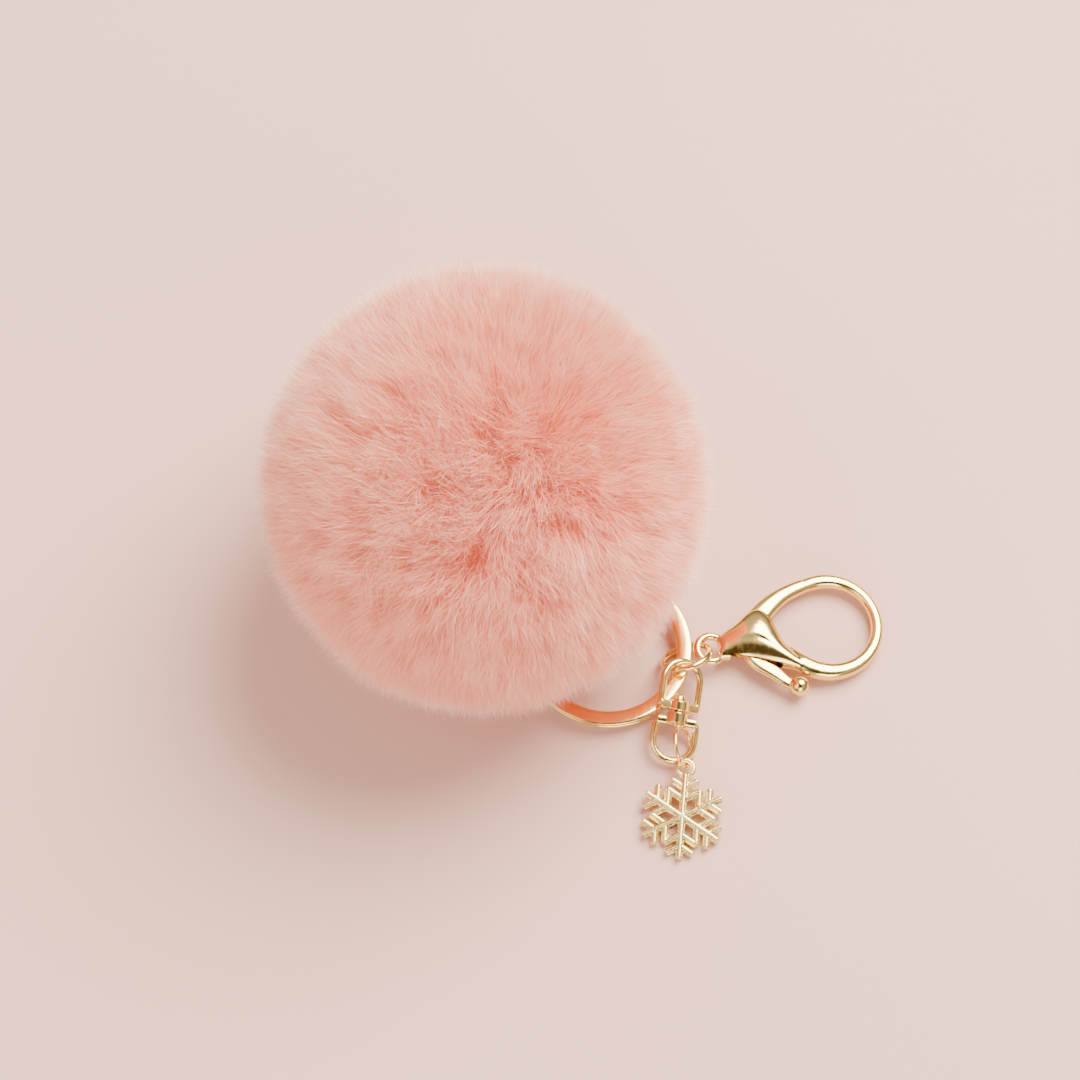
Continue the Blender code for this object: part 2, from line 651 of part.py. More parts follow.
def build_charm(parts, tools, materials):
    """The small ring and the six-armed snowflake that hangs from it."""
    ring = wire("charm_jump_ring", jump_ring_points(CHARM_RING_R, 36), CHARM_RING_WIRE_R, parts)
    ring.matrix_world = ring_frame(CHARM_RING_CENTRE, CHARM_RING_NORMAL)
    dress(to_mesh(ring), materials["gold"])

    turned = Matrix.Rotation(CHARM_TURN, 4, "Z") @ Matrix.Rotation(CHARM_TILT, 4, "X")
    charm_frame = add_empty("charm_frame", Matrix.Translation(CHARM_CENTRE) @ turned, parts)
    charm = to_mesh(plate("snowflake_charm", snowflake_outline(), CHARM_THICKNESS / 2, parts, charm_frame))
    eye_points = [(x, y + CHARM_EYE_Y, 0.0) for x, y in circle(CHARM_EYE_R, 20)]
    eye = to_mesh(wire("charm_eye", eye_points, CHARM_EYE_WIRE_R, tools, charm_frame, closed=True))
    combine(charm, eye, "UNION")
    dress(charm, materials["pale_gold"])


def branch_points(distance, length):
    """A branch's four corners on an arm that points along +Y, on the arm's right side."""
    along_branch = Vector((math.sin(BRANCH_ANGLE), math.cos(BRANCH_ANGLE)))
    across = Vector((along_branch.y, -along_branch.x)) * BRANCH_WIDTH / 2
    start = Vector((0.0, distance))
    points = []
    for side in (across, -across):
        foot = start + side
        root = foot + along_branch * (ARM_WIDTH / 2 - foot.x) / along_branch.x
        tip = foot + along_branch * length
        points += [root, tip] if side is across else [tip, root]
    return points


def snowflake_outline():
    """The snowflake seen from above: six arms, each with an inner and an outer pair of branches."""
    outline = []
    valley = ARM_WIDTH / 2 / math.tan(math.radians(30.0))
    for arm in range(6):
        reach = CHARM_EYE_Y - CHARM_EYE_R if arm == 0 else ARM_LENGTH
        right = [Vector((ARM_WIDTH / 2, valley))]
        for distance, length in BRANCHES:
            right += branch_points(distance, length)
        right.append(Vector((ARM_WIDTH / 2, reach)))
        left = [Vector((-p.x, p.y)) for p in reversed(right[1:])]
        turn = Matrix.Rotation(-math.radians(60.0) * arm, 2)
        outline += [tuple(turn @ p) for p in reversed(right + left)]
    return outline


def main():
    """Build every sub-part."""
    clear_scene()
    parts = new_collection("plush_keychain")
    tools = new_collection("cutters")
    materials = {
        "fur": make_material("coral_fur", CORAL, 0.95, 0.0),
        "backing": make_material("knit_backing", PINK_KNIT, 0.9, 0.0),
        "stuffing": make_material("fibre_filling", WHITE_FILL, 0.95, 0.0),
        "thread": make_material("gathering_thread", THREAD, 0.8, 0.0),
        "cord": make_material("elastic_cord", CORAL, 0.8, 0.0),
        "gold": make_material("gold_plating", GOLD, 0.18, 1.0),
        "pale_gold": make_material("pale_gold_plating", PALE_GOLD, 0.25, 1.0),
        "steel": make_material("spring_steel", STEEL, 0.3, 1.0),
    }
    build_pompom(parts, tools, materials)
    build_split_ring(parts, tools, materials)
    build_link_ring(parts, materials)
    build_clasp(parts, tools, materials)
    build_swivel(parts, tools, materials)
    build_charm(parts, tools, materials)


main()
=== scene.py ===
"""Looks of the plush keychain: a fur pompom, a flat split ring, a lobster clasp and a snowflake on a swivel.

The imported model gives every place. Sizes in the classes below are millimetres, and meshes are made in metres.
"""

import json
import logging
import math
from dataclasses import dataclass
from enum import Enum

import bmesh
import bpy
import numpy as np
from mathutils import Matrix, Vector


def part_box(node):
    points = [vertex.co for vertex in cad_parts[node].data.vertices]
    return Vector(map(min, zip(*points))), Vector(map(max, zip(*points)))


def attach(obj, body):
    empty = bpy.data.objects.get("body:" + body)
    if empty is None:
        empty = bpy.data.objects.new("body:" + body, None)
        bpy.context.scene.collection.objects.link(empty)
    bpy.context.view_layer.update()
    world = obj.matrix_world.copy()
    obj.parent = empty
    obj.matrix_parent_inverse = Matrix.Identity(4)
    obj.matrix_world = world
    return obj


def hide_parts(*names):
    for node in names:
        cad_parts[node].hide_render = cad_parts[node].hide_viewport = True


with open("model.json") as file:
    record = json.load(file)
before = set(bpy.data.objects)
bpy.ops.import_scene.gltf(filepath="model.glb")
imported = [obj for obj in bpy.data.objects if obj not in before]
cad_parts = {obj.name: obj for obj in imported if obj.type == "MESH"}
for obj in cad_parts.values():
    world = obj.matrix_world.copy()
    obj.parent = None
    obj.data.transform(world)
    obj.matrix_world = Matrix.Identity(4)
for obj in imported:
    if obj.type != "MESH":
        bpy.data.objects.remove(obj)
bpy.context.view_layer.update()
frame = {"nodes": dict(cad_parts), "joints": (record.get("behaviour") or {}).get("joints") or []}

log = logging.getLogger("plush_keychain")

MM = 0.001
STRAND_LAYOUT = "OFBake"
UP = Vector((0.0, 0.0, 1.0))
CUT_EDGE_ANGLE = 38.0
END_STEPS = np.array([0.0, 0.35, 0.65, 0.9])
END_TIP = 0.02
DOME_STEPS = np.array([1.0, 0.965, 0.9, 0.8, 0.66, 0.5, 0.33, 0.17, 0.04])
DOME_ROUNDNESS = 1.7
BALL_ANGLES = np.linspace(2.0, 178.0, 17)
DIRECTIONS_AT_ONCE = 4000

Colour = tuple[float, float, float]
Point = tuple[float, float]
Place = tuple[float, float, float]
Outline = list[Point]
Radii = list[tuple[float, float]]
Piece = bpy.types.Object
Mesh = bpy.types.Mesh
Material = bpy.types.Material
Tree = bpy.types.NodeTree
Node = bpy.types.Node
Socket = bpy.types.NodeSocket


class Wear(Enum):
    """How worn a metal finish is: the strength of its scratches and of its clouding."""

    BRIGHT = (0.035, 0.35)
    HANDLED = (0.12, 0.7)


class Body(Enum):
    """The moving bodies that pieces ride on."""

    POMPOM = "pompom"
    KEY_RING = "key_ring"
    LINK = "link"
    CLASP = "clasp"
    TRIGGER = "trigger"
    SWIVEL_TOP = "swivel_top"
    SWIVEL_FOOT = "swivel_foot"
    CHARM_LINK = "charm_link"
    CHARM = "charm"


# frame helpers


def joint_place(name: str) -> tuple[Vector, Vector]:
    """Where a joint is at rest.

    Args:
        name: the joint's name in the record.

    Returns:
        A point on its axis, and the axis, in metres.
    """
    for joint in frame["joints"]:
        if joint["name"] == name:
            return Vector(joint["pos_m"]), Vector(joint["axis"]).normalized()
    raise KeyError(name)


def box_centre(node: str) -> Vector:
    """The middle of a CAD node's box.

    Args:
        node: the node's name.

    Returns:
        The middle, in metres.
    """
    low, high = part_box(node)
    return (Vector(low) + Vector(high)) / 2


def axes_matrix(origin: Vector, x_axis: Vector, y_axis: Vector) -> Matrix:
    """A frame from its origin and two square axes.

    Args:
        origin: the frame's origin, in metres.
        x_axis: its X axis.
        y_axis: its Y axis.

    Returns:
        The frame's matrix.
    """
    rotation = Matrix((x_axis, y_axis, x_axis.cross(y_axis))).transposed().to_4x4()
    return Matrix.Translation(origin) @ rotation


def ring_matrix(centre: Vector, normal: Vector) -> Matrix:
    """A frame whose Z axis is a ring's axis and whose X axis is level.

    Args:
        centre: the ring's centre, in metres.
        normal: the ring's axis.

    Returns:
        The frame's matrix.
    """
    x_axis = UP.cross(normal).normalized()
    return axes_matrix(centre, x_axis, normal.cross(x_axis))


# mesh helpers


def mesh_piece(name: str, verts: np.ndarray, faces: list, place: Matrix | None = None) -> Piece:
    """Make a mesh object from points in millimetres.

    Args:
        name: the piece's name.
        verts: its points, in millimetres in its own frame.
        faces: its faces, as lists of point numbers.
        place: the frame that the points are in.

    Returns:
        The object, linked to the scene, with its points in the row frame.
    """
    mesh = bpy.data.meshes.new(name)
    mesh.from_pydata((np.asarray(verts, float) * MM).tolist(), [], [list(map(int, f)) for f in faces])
    if place is not None:
        mesh.transform(place)
    mesh.update()
    mesh.shade_smooth()
    piece = bpy.data.objects.new(name, mesh)
    bpy.context.scene.collection.objects.link(piece)
    return piece


def evaluated_mesh(piece: Piece) -> Mesh:
    """A piece's mesh with its modifiers applied.

    Args:
        piece: the object.

    Returns:
        A new mesh.
    """
    bpy.context.view_layer.update()
    return bpy.data.meshes.new_from_object(piece.evaluated_get(bpy.context.evaluated_depsgraph_get()))


def bake_modifiers(piece: Piece) -> Piece:
    """Apply a piece's modifiers.

    Args:
        piece: the object.

    Returns:
        The same object, with no modifiers left.
    """
    mesh = evaluated_mesh(piece)
    piece.modifiers.clear()
    piece.data = mesh
    mesh.name = piece.name
    return piece


def discard(*pieces: Piece) -> None:
    """Remove working objects.

    Args:
        pieces: the objects to remove.
    """
    for piece in pieces:
        bpy.data.objects.remove(piece, do_unlink=True)


def cast(name: str, solids: list[Piece], voxel: float, smooth_steps: int) -> Piece:
    """Melt overlapping solids into one casting with soft fillets where they meet.

    Args:
        name: the casting's name.
        solids: closed solids, which are used up.
        voxel: the remesh step, in millimetres.
        smooth_steps: how many smoothing passes round its edges.

    Returns:
        The casting.
    """
    joined = bmesh.new()
    for solid in solids:
        joined.from_mesh(solid.data)
    mesh = bpy.data.meshes.new(name)
    joined.to_mesh(mesh)
    joined.free()
    discard(*solids)
    casting = bpy.data.objects.new(name, mesh)
    bpy.context.scene.collection.objects.link(casting)
    remesh = casting.modifiers.new("melt", "REMESH")
    remesh.mode = "VOXEL"
    remesh.voxel_size = voxel * MM
    remesh.use_smooth_shade = True
    smooth = casting.modifiers.new("soften", "SMOOTH")
    smooth.factor = 0.5
    smooth.iterations = smooth_steps
    return bake_modifiers(casting)


def cut(piece: Piece, tool: Piece) -> Piece:
    """Cut a tool's shape away from a piece.

    Args:
        piece: the piece to cut.
        tool: the cutter, which is used up.

    Returns:
        The piece.
    """
    modifier = piece.modifiers.new("cut", "BOOLEAN")
    modifier.operation = "DIFFERENCE"
    modifier.solver = "EXACT"
    modifier.object = tool
    bake_modifiers(piece)
    discard(tool)
    piece.data.shade_smooth()
    piece.data.set_sharp_from_angle(angle=math.radians(CUT_EDGE_ANGLE))
    return piece


def per_point(value: float | np.ndarray, count: int) -> np.ndarray:
    """Spread one value, or a few, evenly over a path's points.

    Args:
        value: a number, or an array of a few numbers along the path.
        count: the number of points.

    Returns:
        One value for each point.
    """
    given = np.atleast_1d(np.asarray(value, float))
    return np.interp(np.linspace(0, 1, count), np.linspace(0, 1, len(given)), given)


def sweep(
    name: str,
    path: np.ndarray,
    across: float | np.ndarray,
    thick: float | np.ndarray,
    place: Matrix,
    closed: bool = False,
    squareness: float = 2.0,
    sides: int = 16,
    cap: float = 0.5,
) -> Piece:
    """Sweep a rounded section along a path, keeping its thickness upright.

    Args:
        name: the solid's name.
        path: points in millimetres, n by 3, in the solid's own frame, whose Z axis is the section's upright.
        across: half the section's width, or a few values along the path.
        thick: half the section's height, or a few values along the path.
        place: the solid's own frame.
        closed: whether the path's end joins its start.
        squareness: 2 is an ellipse, and higher is closer to a rectangle.
        sides: points round the section.
        cap: how far each end swells out, as a share of the half width.

    Returns:
        The closed solid.
    """
    count = len(path)
    wide = per_point(across, count)
    high = per_point(thick, count)
    if closed:
        tangent = np.roll(path, -1, 0) - np.roll(path, 1, 0)
    else:
        tangent = np.gradient(path, axis=0)
    tangent /= np.linalg.norm(tangent, axis=1, keepdims=True)
    if not closed:
        added = len(END_STEPS)
        grow = np.sqrt(1 - (1 - END_STEPS) ** 2) * (1 - END_TIP) + END_TIP
        lead = -cap * (1 - END_STEPS)
        start = path[0] + tangent[0] * (lead * wide[0])[:, None]
        end = path[-1] - tangent[-1] * (lead[::-1] * wide[-1])[:, None]
        path = np.vstack((start, path, end))
        first, last = np.repeat(tangent[:1], added, 0), np.repeat(tangent[-1:], added, 0)
        tangent = np.vstack((first, tangent, last))
        wide = np.concatenate((wide[0] * grow, wide, wide[-1] * grow[::-1]))
        high = np.concatenate((high[0] * grow, high, high[-1] * grow[::-1]))
        count += 2 * added
    side = np.cross(tangent, np.array([0.0, 0.0, 1.0]))
    side /= np.linalg.norm(side, axis=1, keepdims=True)
    upright = np.cross(side, tangent)
    turn = np.linspace(0, 2 * math.pi, sides, endpoint=False)
    section_x = np.sign(np.cos(turn)) * np.abs(np.cos(turn)) ** (2 / squareness)
    section_y = np.sign(np.sin(turn)) * np.abs(np.sin(turn)) ** (2 / squareness)
    verts = (
        path[:, None, :]
        + side[:, None, :] * (wide[:, None] * section_x)[:, :, None]
        + upright[:, None, :] * (high[:, None] * section_y)[:, :, None]
    ).reshape(-1, 3)
    faces = []
    for i in range(count if closed else count - 1):
        following = (i + 1) % count
        for k in range(sides):
            after = (k + 1) % sides
            faces.append((i * sides + k, i * sides + after, following * sides + after, following * sides + k))
    if not closed:
        faces.append(tuple(reversed(range(sides))))
        faces.append(tuple(range((count - 1) * sides, count * sides)))
    return mesh_piece(name, verts, faces, place)


def arc(centre: tuple[float, float], radius: float, start: float, end: float, steps: int) -> np.ndarray:
    """Points on a flat arc.

    Args:
        centre: its middle, in millimetres.
        radius: its radius, in millimetres.
        start: its first angle, in degrees.
        end: its last angle, in degrees.
        steps: how many steps between them.

    Returns:
        The points, steps + 1 by 3.
    """
    turn = np.radians(np.linspace(start, end, steps + 1))
    x = centre[0] + radius * np.cos(turn)
    y = centre[1] + radius * np.sin(turn)
    return np.column_stack((x, y, np.zeros_like(x)))


def circle(radius: float, steps: int) -> np.ndarray:
    """The points of a flat circle, for a closed sweep."""
    return arc((0.0, 0.0), radius, 0.0, 360.0, steps)[:-1]


def smooth_line(points: Outline, steps: int, closed: bool = False) -> np.ndarray:
    """A smooth line through a few flat points.

    Args:
        points: the points, in millimetres.
        steps: steps between two points.
        closed: whether the line comes back to its start.

    Returns:
        The line's points, n by 3.
    """
    knots = np.array(points, float)
    count = len(knots)
    line = []
    spans = count if closed else count - 1
    for i in range(spans):
        if closed:
            near = [(i + k) % count for k in (-1, 0, 1, 2)]
        else:
            near = [min(max(i + k, 0), count - 1) for k in (-1, 0, 1, 2)]
        before, start, end, after = knots[near]
        for t in np.linspace(0, 1, steps, endpoint=False):
            bend = 2 * start + (end - before) * t + (2 * before - 5 * start + 4 * end - after) * t * t
            line.append(0.5 * (bend + (3 * start - before - 3 * end + after) * t**3))
    if not closed:
        line.append(knots[-1])
    flat = np.array(line)
    return np.column_stack((flat, np.zeros(len(flat))))


def dome(
    name: str,
    outline: np.ndarray,
    spine: np.ndarray,
    heights: list[float],
    edge: float,
    flatter: float,
    place: Matrix,
    softness: float = 0.7,
) -> Piece:
    """A solid that swells from its outline to a soft ridge along its spine, above and below.

    Args:
        name: the solid's name.
        outline: its edge seen from above, a closed line in millimetres.
        spine: a line inside it that the ridge follows.
        heights: the ridge's height along the spine.
        edge: half the thickness left at the outline.
        flatter: the underside's height, as a share of the top's.
        place: the solid's own frame.
        softness: how widely the edge is drawn to the spine, in millimetres.

    Returns:
        The closed solid.
    """
    gaps = np.linalg.norm(outline[:, None, :] - spine[None, :, :], axis=2)
    pull = np.exp((gaps.min(axis=1, keepdims=True) - gaps) / softness)
    pull /= pull.sum(axis=1, keepdims=True)
    ridge = pull @ per_point(np.array(heights), len(spine))
    roots = pull @ spine
    layers = []
    for side, steps in ((-flatter, DOME_STEPS[::-1]), (1.0, DOME_STEPS)):
        for share in steps:
            layer = roots + (outline - roots) * share
            layer[:, 2] = side * (edge + (ridge - edge) * np.sqrt(1 - share**DOME_ROUNDNESS))
            layers.append(layer)
    count = len(outline)
    verts = np.vstack(layers)
    faces = []
    for layer in range(len(layers) - 1):
        for k in range(count):
            after = (k + 1) % count
            low = layer * count
            faces.append((low + k, low + after, low + count + after, low + count + k))
    top = (len(layers) - 1) * count
    faces.append(tuple(range(count))[::-1])
    faces.append(tuple(range(top, top + count)))
    return mesh_piece(name, verts, faces, place)


def rod(name: str, start: Vector, end: Vector, radii: Radii, place: Matrix, sides: int = 32) -> Piece:
    """A turned solid along a straight axis.

    Args:
        name: the solid's name.
        start: one end of its axis, in millimetres.
        end: the other end.
        radii: (share along the axis, radius in millimetres) from one end to the other.
        place: the solid's own frame.
        sides: points round it.

    Returns:
        The closed solid.
    """
    axis = (end - start).normalized()
    side = axis.orthogonal().normalized()
    other = axis.cross(side)
    verts = []
    for share, radius in radii:
        centre = start.lerp(end, share)
        for k in range(sides):
            turn = 2 * math.pi * k / sides
            verts.append(tuple(centre + (side * math.cos(turn) + other * math.sin(turn)) * radius))
    faces = [tuple(range(sides))[::-1], tuple(range((len(radii) - 1) * sides, len(radii) * sides))]
    for layer in range(len(radii) - 1):
        for k in range(sides):
            after = (k + 1) % sides
            low = layer * sides
            faces.append((low + k, low + after, low + sides + after, low + sides + k))
    return mesh_piece(name, np.array(verts), faces, place)


def even_radii(radius: float) -> Radii:
    """The radii along a plain round bar, for rod()."""
    return [(0.0, radius), (1.0, radius)]


def ball_radii(radius: float, length: float) -> Radii:
    """The radii along a turned ball, for rod().

    Args:
        radius: the ball's radius.
        length: the length of the rod's axis.

    Returns:
        (share, radius) pairs.
    """
    pairs = []
    for angle in np.radians(BALL_ANGLES):
        share = 0.5 - math.cos(angle) * radius / length
        pairs.append((share, radius * math.sin(angle)))
    return pairs


# shader helpers


def new_material(name: str) -> tuple[Material, Tree, Node]:
    """A node material with its Principled shader.

    Args:
        name: the material's name.

    Returns:
        The material, its node tree and the shader.
    """
    material = bpy.data.materials.new(name)
    material.use_nodes = True
    tree = material.node_tree
    return material, tree, tree.nodes["Principled BSDF"]


def add_node(tree: Tree, kind: str, settings: dict | None = None, **values: object) -> Node:
    """Add a node and set it up.

    Args:
        tree: the node tree.
        kind: the node's type, without its Shader or ShaderNode prefix.
        settings: the node's own properties.
        values: its sockets' values, with _ for a space.

    Returns:
        The node.
    """
    node = tree.nodes.new("ShaderNode" + kind)
    for key, value in (settings or {}).items():
        setattr(node, key, value)
    for key, value in values.items():
        node.inputs[key.replace("_", " ")].default_value = value
    return node


def ramp(tree: Tree, source: Socket, stops: list[tuple[float, Colour]]) -> Socket:
    """A colour ramp.

    Args:
        tree: the node tree.
        source: the value that it reads.
        stops: (position, colour) pairs.

    Returns:
        Its colour output.
    """
    node = add_node(tree, "ValToRGB")
    elements = node.color_ramp.elements
    while len(elements) < len(stops):
        elements.new(0.5)
    for element, (position, colour) in zip(elements, stops):
        element.position = position
        element.color = (*colour, 1.0)
    tree.links.new(source, node.inputs["Fac"])
    return node.outputs["Color"]


def scaled_value(tree: Tree, source: Socket, low: float, high: float) -> Socket:
    """Map a 0 to 1 value onto a range.

    Args:
        tree: the node tree.
        source: the value.
        low: the result at 0.
        high: the result at 1.

    Returns:
        The mapped value.
    """
    node = add_node(tree, "MapRange", To_Min=low, To_Max=high)
    tree.links.new(source, node.inputs["Value"])
    return node.outputs["Result"]


def blend_colour(
    tree: Tree,
    share: Socket | float,
    first: Socket | Colour,
    second: Socket | Colour,
    how: str = "MIX",
) -> Socket:
    """Mix two colours.

    Args:
        tree: the node tree.
        share: how much of the second, a socket or a number.
        first: a colour, or a socket.
        second: a colour, or a socket.
        how: the blend type.

    Returns:
        The mixed colour.
    """
    node = add_node(tree, "Mix", {"data_type": "RGBA", "blend_type": how})
    for socket, value in ((node.inputs[0], share), (node.inputs[6], first), (node.inputs[7], second)):
        if isinstance(value, Socket):
            tree.links.new(value, socket)
        else:
            socket.default_value = (*value, 1.0) if isinstance(value, tuple) else value
    return node.outputs[2]


def new_group(name: str, inputs: dict[str, float], outputs: list[str]) -> tuple[Tree, Node, Node]:
    """An empty shader node group, whose inputs and outputs are numbers.

    Args:
        name: the group's name.
        inputs: each input's name and default.
        outputs: each output's name.

    Returns:
        The group, its input node and its output node.
    """
    group = bpy.data.node_groups.new(name, "ShaderNodeTree")
    for label, default in inputs.items():
        socket = group.interface.new_socket(label, in_out="INPUT", socket_type="NodeSocketFloat")
        socket.default_value = default
    for label in outputs:
        group.interface.new_socket(label, in_out="OUTPUT", socket_type="NodeSocketFloat")
    return group, group.nodes.new("NodeGroupInput"), group.nodes.new("NodeGroupOutput")


def clouding_group() -> Tree:
    """Soft uneven patches, as of handling or dye, put out as a mask.

    Returns:
        The group.
    """
    group, given, result = new_group("clouding", {"Size": 200.0, "Contrast": 1.0}, ["Mask"])
    place = add_node(group, "TexCoord")
    noise = add_node(group, "TexNoise", Detail=4.0, Roughness=0.55, Distortion=0.4)
    spread = add_node(group, "MapRange", From_Min=0.3, From_Max=0.7)
    power = add_node(group, "Math", {"operation": "POWER"})
    group.links.new(place.outputs["Object"], noise.inputs["Vector"])
    group.links.new(given.outputs["Size"], noise.inputs["Scale"])
    group.links.new(noise.outputs["Fac"], spread.inputs["Value"])
    group.links.new(spread.outputs["Result"], power.inputs[0])
    group.links.new(given.outputs["Contrast"], power.inputs[1])
    group.links.new(power.outputs["Value"], result.inputs["Mask"])
    return group


def scratch_group() -> Tree:
    """Fine hairline scratches in two directions, put out as a height and a mask.

    Returns:
        The group.
    """
    group, given, result = new_group("scratches", {"Size": 900.0}, ["Height", "Mask"])
    place = add_node(group, "TexCoord")
    heights = []
    for turn in (0.5, 2.1):
        mapping = add_node(group, "Mapping", Rotation=(0.3, turn, turn), Scale=(1.0, 0.06, 1.0))
        noise = add_node(group, "TexNoise", Detail=3.0, Roughness=0.6)
        group.links.new(place.outputs["Object"], mapping.inputs["Vector"])
        group.links.new(mapping.outputs["Vector"], noise.inputs["Vector"])
        group.links.new(given.outputs["Size"], noise.inputs["Scale"])
        heights.append(noise.outputs["Fac"])
    both = add_node(group, "Math", {"operation": "MULTIPLY"})
    group.links.new(heights[0], both.inputs[0])
    group.links.new(heights[1], both.inputs[1])
    mask = add_node(group, "MapRange", From_Min=0.2, From_Max=0.4)
    group.links.new(both.outputs["Value"], mask.inputs["Value"])
    group.links.new(both.outputs["Value"], result.inputs["Height"])
    group.links.new(mask.outputs["Result"], result.inputs["Mask"])
    return group


def strand_weave_group() -> Tree:
    """Crossing twisted strands, as of thread, cord or knit, put out as a height.

    Returns:
        The group.
    """
    group, given, result = new_group("strand_weave", {"Size": 1500.0}, ["Height"])
    place = add_node(group, "TexCoord")
    waves = []
    for turn in (0.7, -0.7):
        mapping = add_node(group, "Mapping", Rotation=(turn, turn, turn))
        wave = add_node(group, "TexWave", Distortion=1.5, Detail=1.0)
        group.links.new(place.outputs["Object"], mapping.inputs["Vector"])
        group.links.new(mapping.outputs["Vector"], wave.inputs["Vector"])
        group.links.new(given.outputs["Size"], wave.inputs["Scale"])
        waves.append(wave.outputs["Fac"])
    highest = add_node(group, "Math", {"operation": "MAXIMUM"})
    group.links.new(waves[0], highest.inputs[0])
    group.links.new(waves[1], highest.inputs[1])
    group.links.new(highest.outputs["Value"], result.inputs["Height"])
    return group


def use_group(tree: Tree, group: Tree, **values: float) -> Node:
    """Place a node group in a material.

    Args:
        tree: the material's node tree.
        group: the group.
        values: its inputs' values.

    Returns:
        The group's node.
    """
    node = tree.nodes.new("ShaderNodeGroup")
    node.node_tree = group
    for key, value in values.items():
        node.inputs[key].default_value = value
    return node


def add_bump(tree: Tree, shader: Node, height: Socket, depth: float, strength: float) -> None:
    """Feed a height to a shader's normal.

    Args:
        tree: the node tree.
        shader: the Principled shader.
        height: the height, from 0 to 1.
        depth: what 1 stands for, in metres.
        strength: how much of it shows.
    """
    bump = add_node(tree, "Bump", Strength=strength, Distance=depth)
    tree.links.new(height, bump.inputs["Height"])
    tree.links.new(bump.outputs["Normal"], shader.inputs["Normal"])


@dataclass(frozen=True)
class Groups:
    """The shader node groups that the finishes share."""

    clouding: Tree
    scratches: Tree
    weave: Tree


@dataclass(frozen=True)
class MetalFinish:
    """Polished plated metal."""

    name: str
    bright: Colour
    deep: Colour
    roughness: tuple[float, float]
    wear: Wear = Wear.BRIGHT
    cloud_size: float = 160.0
    scratch_size: float = 1400.0
    scratch_depth: float = 0.02

    def make(self, groups: Groups) -> Material:
        """Make the material.

        Args:
            groups: the shared node groups.

        Returns:
            The material.
        """
        scratch_strength, cloud_contrast = self.wear.value
        material, tree, shader = new_material(self.name)
        shader.inputs["Metallic"].default_value = 1.0
        cloud = use_group(tree, groups.clouding, Size=self.cloud_size, Contrast=cloud_contrast)
        scratch = use_group(tree, groups.scratches, Size=self.scratch_size)
        tone = blend_colour(tree, cloud.outputs["Mask"], self.bright, self.deep)
        tree.links.new(tone, shader.inputs["Base Color"])
        rough = scaled_value(tree, scratch.outputs["Mask"], *self.roughness)
        tree.links.new(rough, shader.inputs["Roughness"])
        add_bump(tree, shader, scratch.outputs["Height"], self.scratch_depth * MM, scratch_strength)
        return material


@dataclass(frozen=True)
class FurFinish:
    """Dyed faux fur, saturated at the root and pale at the tip, with painted shade in its tone and a painted
    glow.
    """

    name: str
    root: Colour
    middle: Colour
    tip: Colour
    end: Colour
    dusky_and_shade: Colour
    roughness: tuple[float, float] = (0.62, 0.85)
    painted_glow: float = 0.18
    colour_steps: tuple[float, ...] = (0.0, 0.5, 0.8, 0.94, 1.0)
    tone_and_shade_depth: float = 0.6
    patch_size: float = 70.0
    patch_contrast: float = 1.2
    patch_depth: float = 0.25
    sheen: float = 0.15
    sheen_roughness: float = 0.4
    sheen_tint: Colour = (1.0, 0.86, 0.82)
    gloss: float = 0.25

    def make(self, groups: Groups) -> Material:
        """Make the material.

        Args:
            groups: the shared node groups.

        Returns:
            The material.
        """
        material, tree, shader = new_material(self.name)
        along = add_node(tree, "Attribute", {"attribute_name": "along"})
        tone = add_node(tree, "Attribute", {"attribute_name": "tone"})
        colours = (self.root, self.root, self.middle, self.tip, self.end)
        dyed = ramp(tree, along.outputs["Fac"], list(zip(self.colour_steps, colours)))
        # the tone darkens strands towards the dusky colour: partly random tone, partly painted shade on the
        # side away from the key light
        tone_and_shade_share = scaled_value(tree, tone.outputs["Fac"], 0.0, self.tone_and_shade_depth)
        varied = blend_colour(tree, tone_and_shade_share, dyed, self.dusky_and_shade, "MULTIPLY")
        cloud = use_group(tree, groups.clouding, Size=self.patch_size, Contrast=self.patch_contrast)
        patch = scaled_value(tree, cloud.outputs["Mask"], 0.0, self.patch_depth)
        patched = blend_colour(tree, patch, varied, self.middle)
        tree.links.new(patched, shader.inputs["Base Color"])
        # painted glow: the fur emits its own colour, standing in for light that passes through the strands
        tree.links.new(patched, shader.inputs["Emission Color"])
        shader.inputs["Emission Strength"].default_value = self.painted_glow
        rough = scaled_value(tree, tone.outputs["Fac"], *self.roughness)
        tree.links.new(rough, shader.inputs["Roughness"])
        shader.inputs["Sheen Weight"].default_value = self.sheen
        shader.inputs["Sheen Roughness"].default_value = self.sheen_roughness
        shader.inputs["Sheen Tint"].default_value = (*self.sheen_tint, 1.0)
        shader.inputs["Specular IOR Level"].default_value = self.gloss
        return material


@dataclass(frozen=True)
class YarnFinish:
    """Thread, cord, knit or loose fibre, with painted shade in the grooves of its weave."""

    name: str
    light: Colour
    dark: Colour
    weave_size: float
    depth: float
    roughness: tuple[float, float] = (0.75, 0.95)
    cloud_size: float = 300.0
    cloud_depth: float = 0.3
    sheen: float = 0.3
    bump_strength: float = 0.8

    def make(self, groups: Groups) -> Material:
        """Make the material.

        Args:
            groups: the shared node groups.

        Returns:
            The material.
        """
        material, tree, shader = new_material(self.name)
        weave = use_group(tree, groups.weave, Size=self.weave_size)
        cloud = use_group(tree, groups.clouding, Size=self.cloud_size, Contrast=1.0)
        height = weave.outputs["Height"]
        # painted shade: where the weave is low, in the grooves between strands, it takes the dark colour
        woven_with_groove_shade = blend_colour(tree, height, self.dark, self.light)
        clouded = scaled_value(tree, cloud.outputs["Mask"], 0.0, self.cloud_depth)
        tinted = blend_colour(tree, clouded, woven_with_groove_shade, self.dark)
        tree.links.new(tinted, shader.inputs["Base Color"])
        tree.links.new(scaled_value(tree, height, *self.roughness), shader.inputs["Roughness"])
        shader.inputs["Sheen Weight"].default_value = self.sheen
        add_bump(tree, shader, height, self.depth * MM, self.bump_strength)
        return material


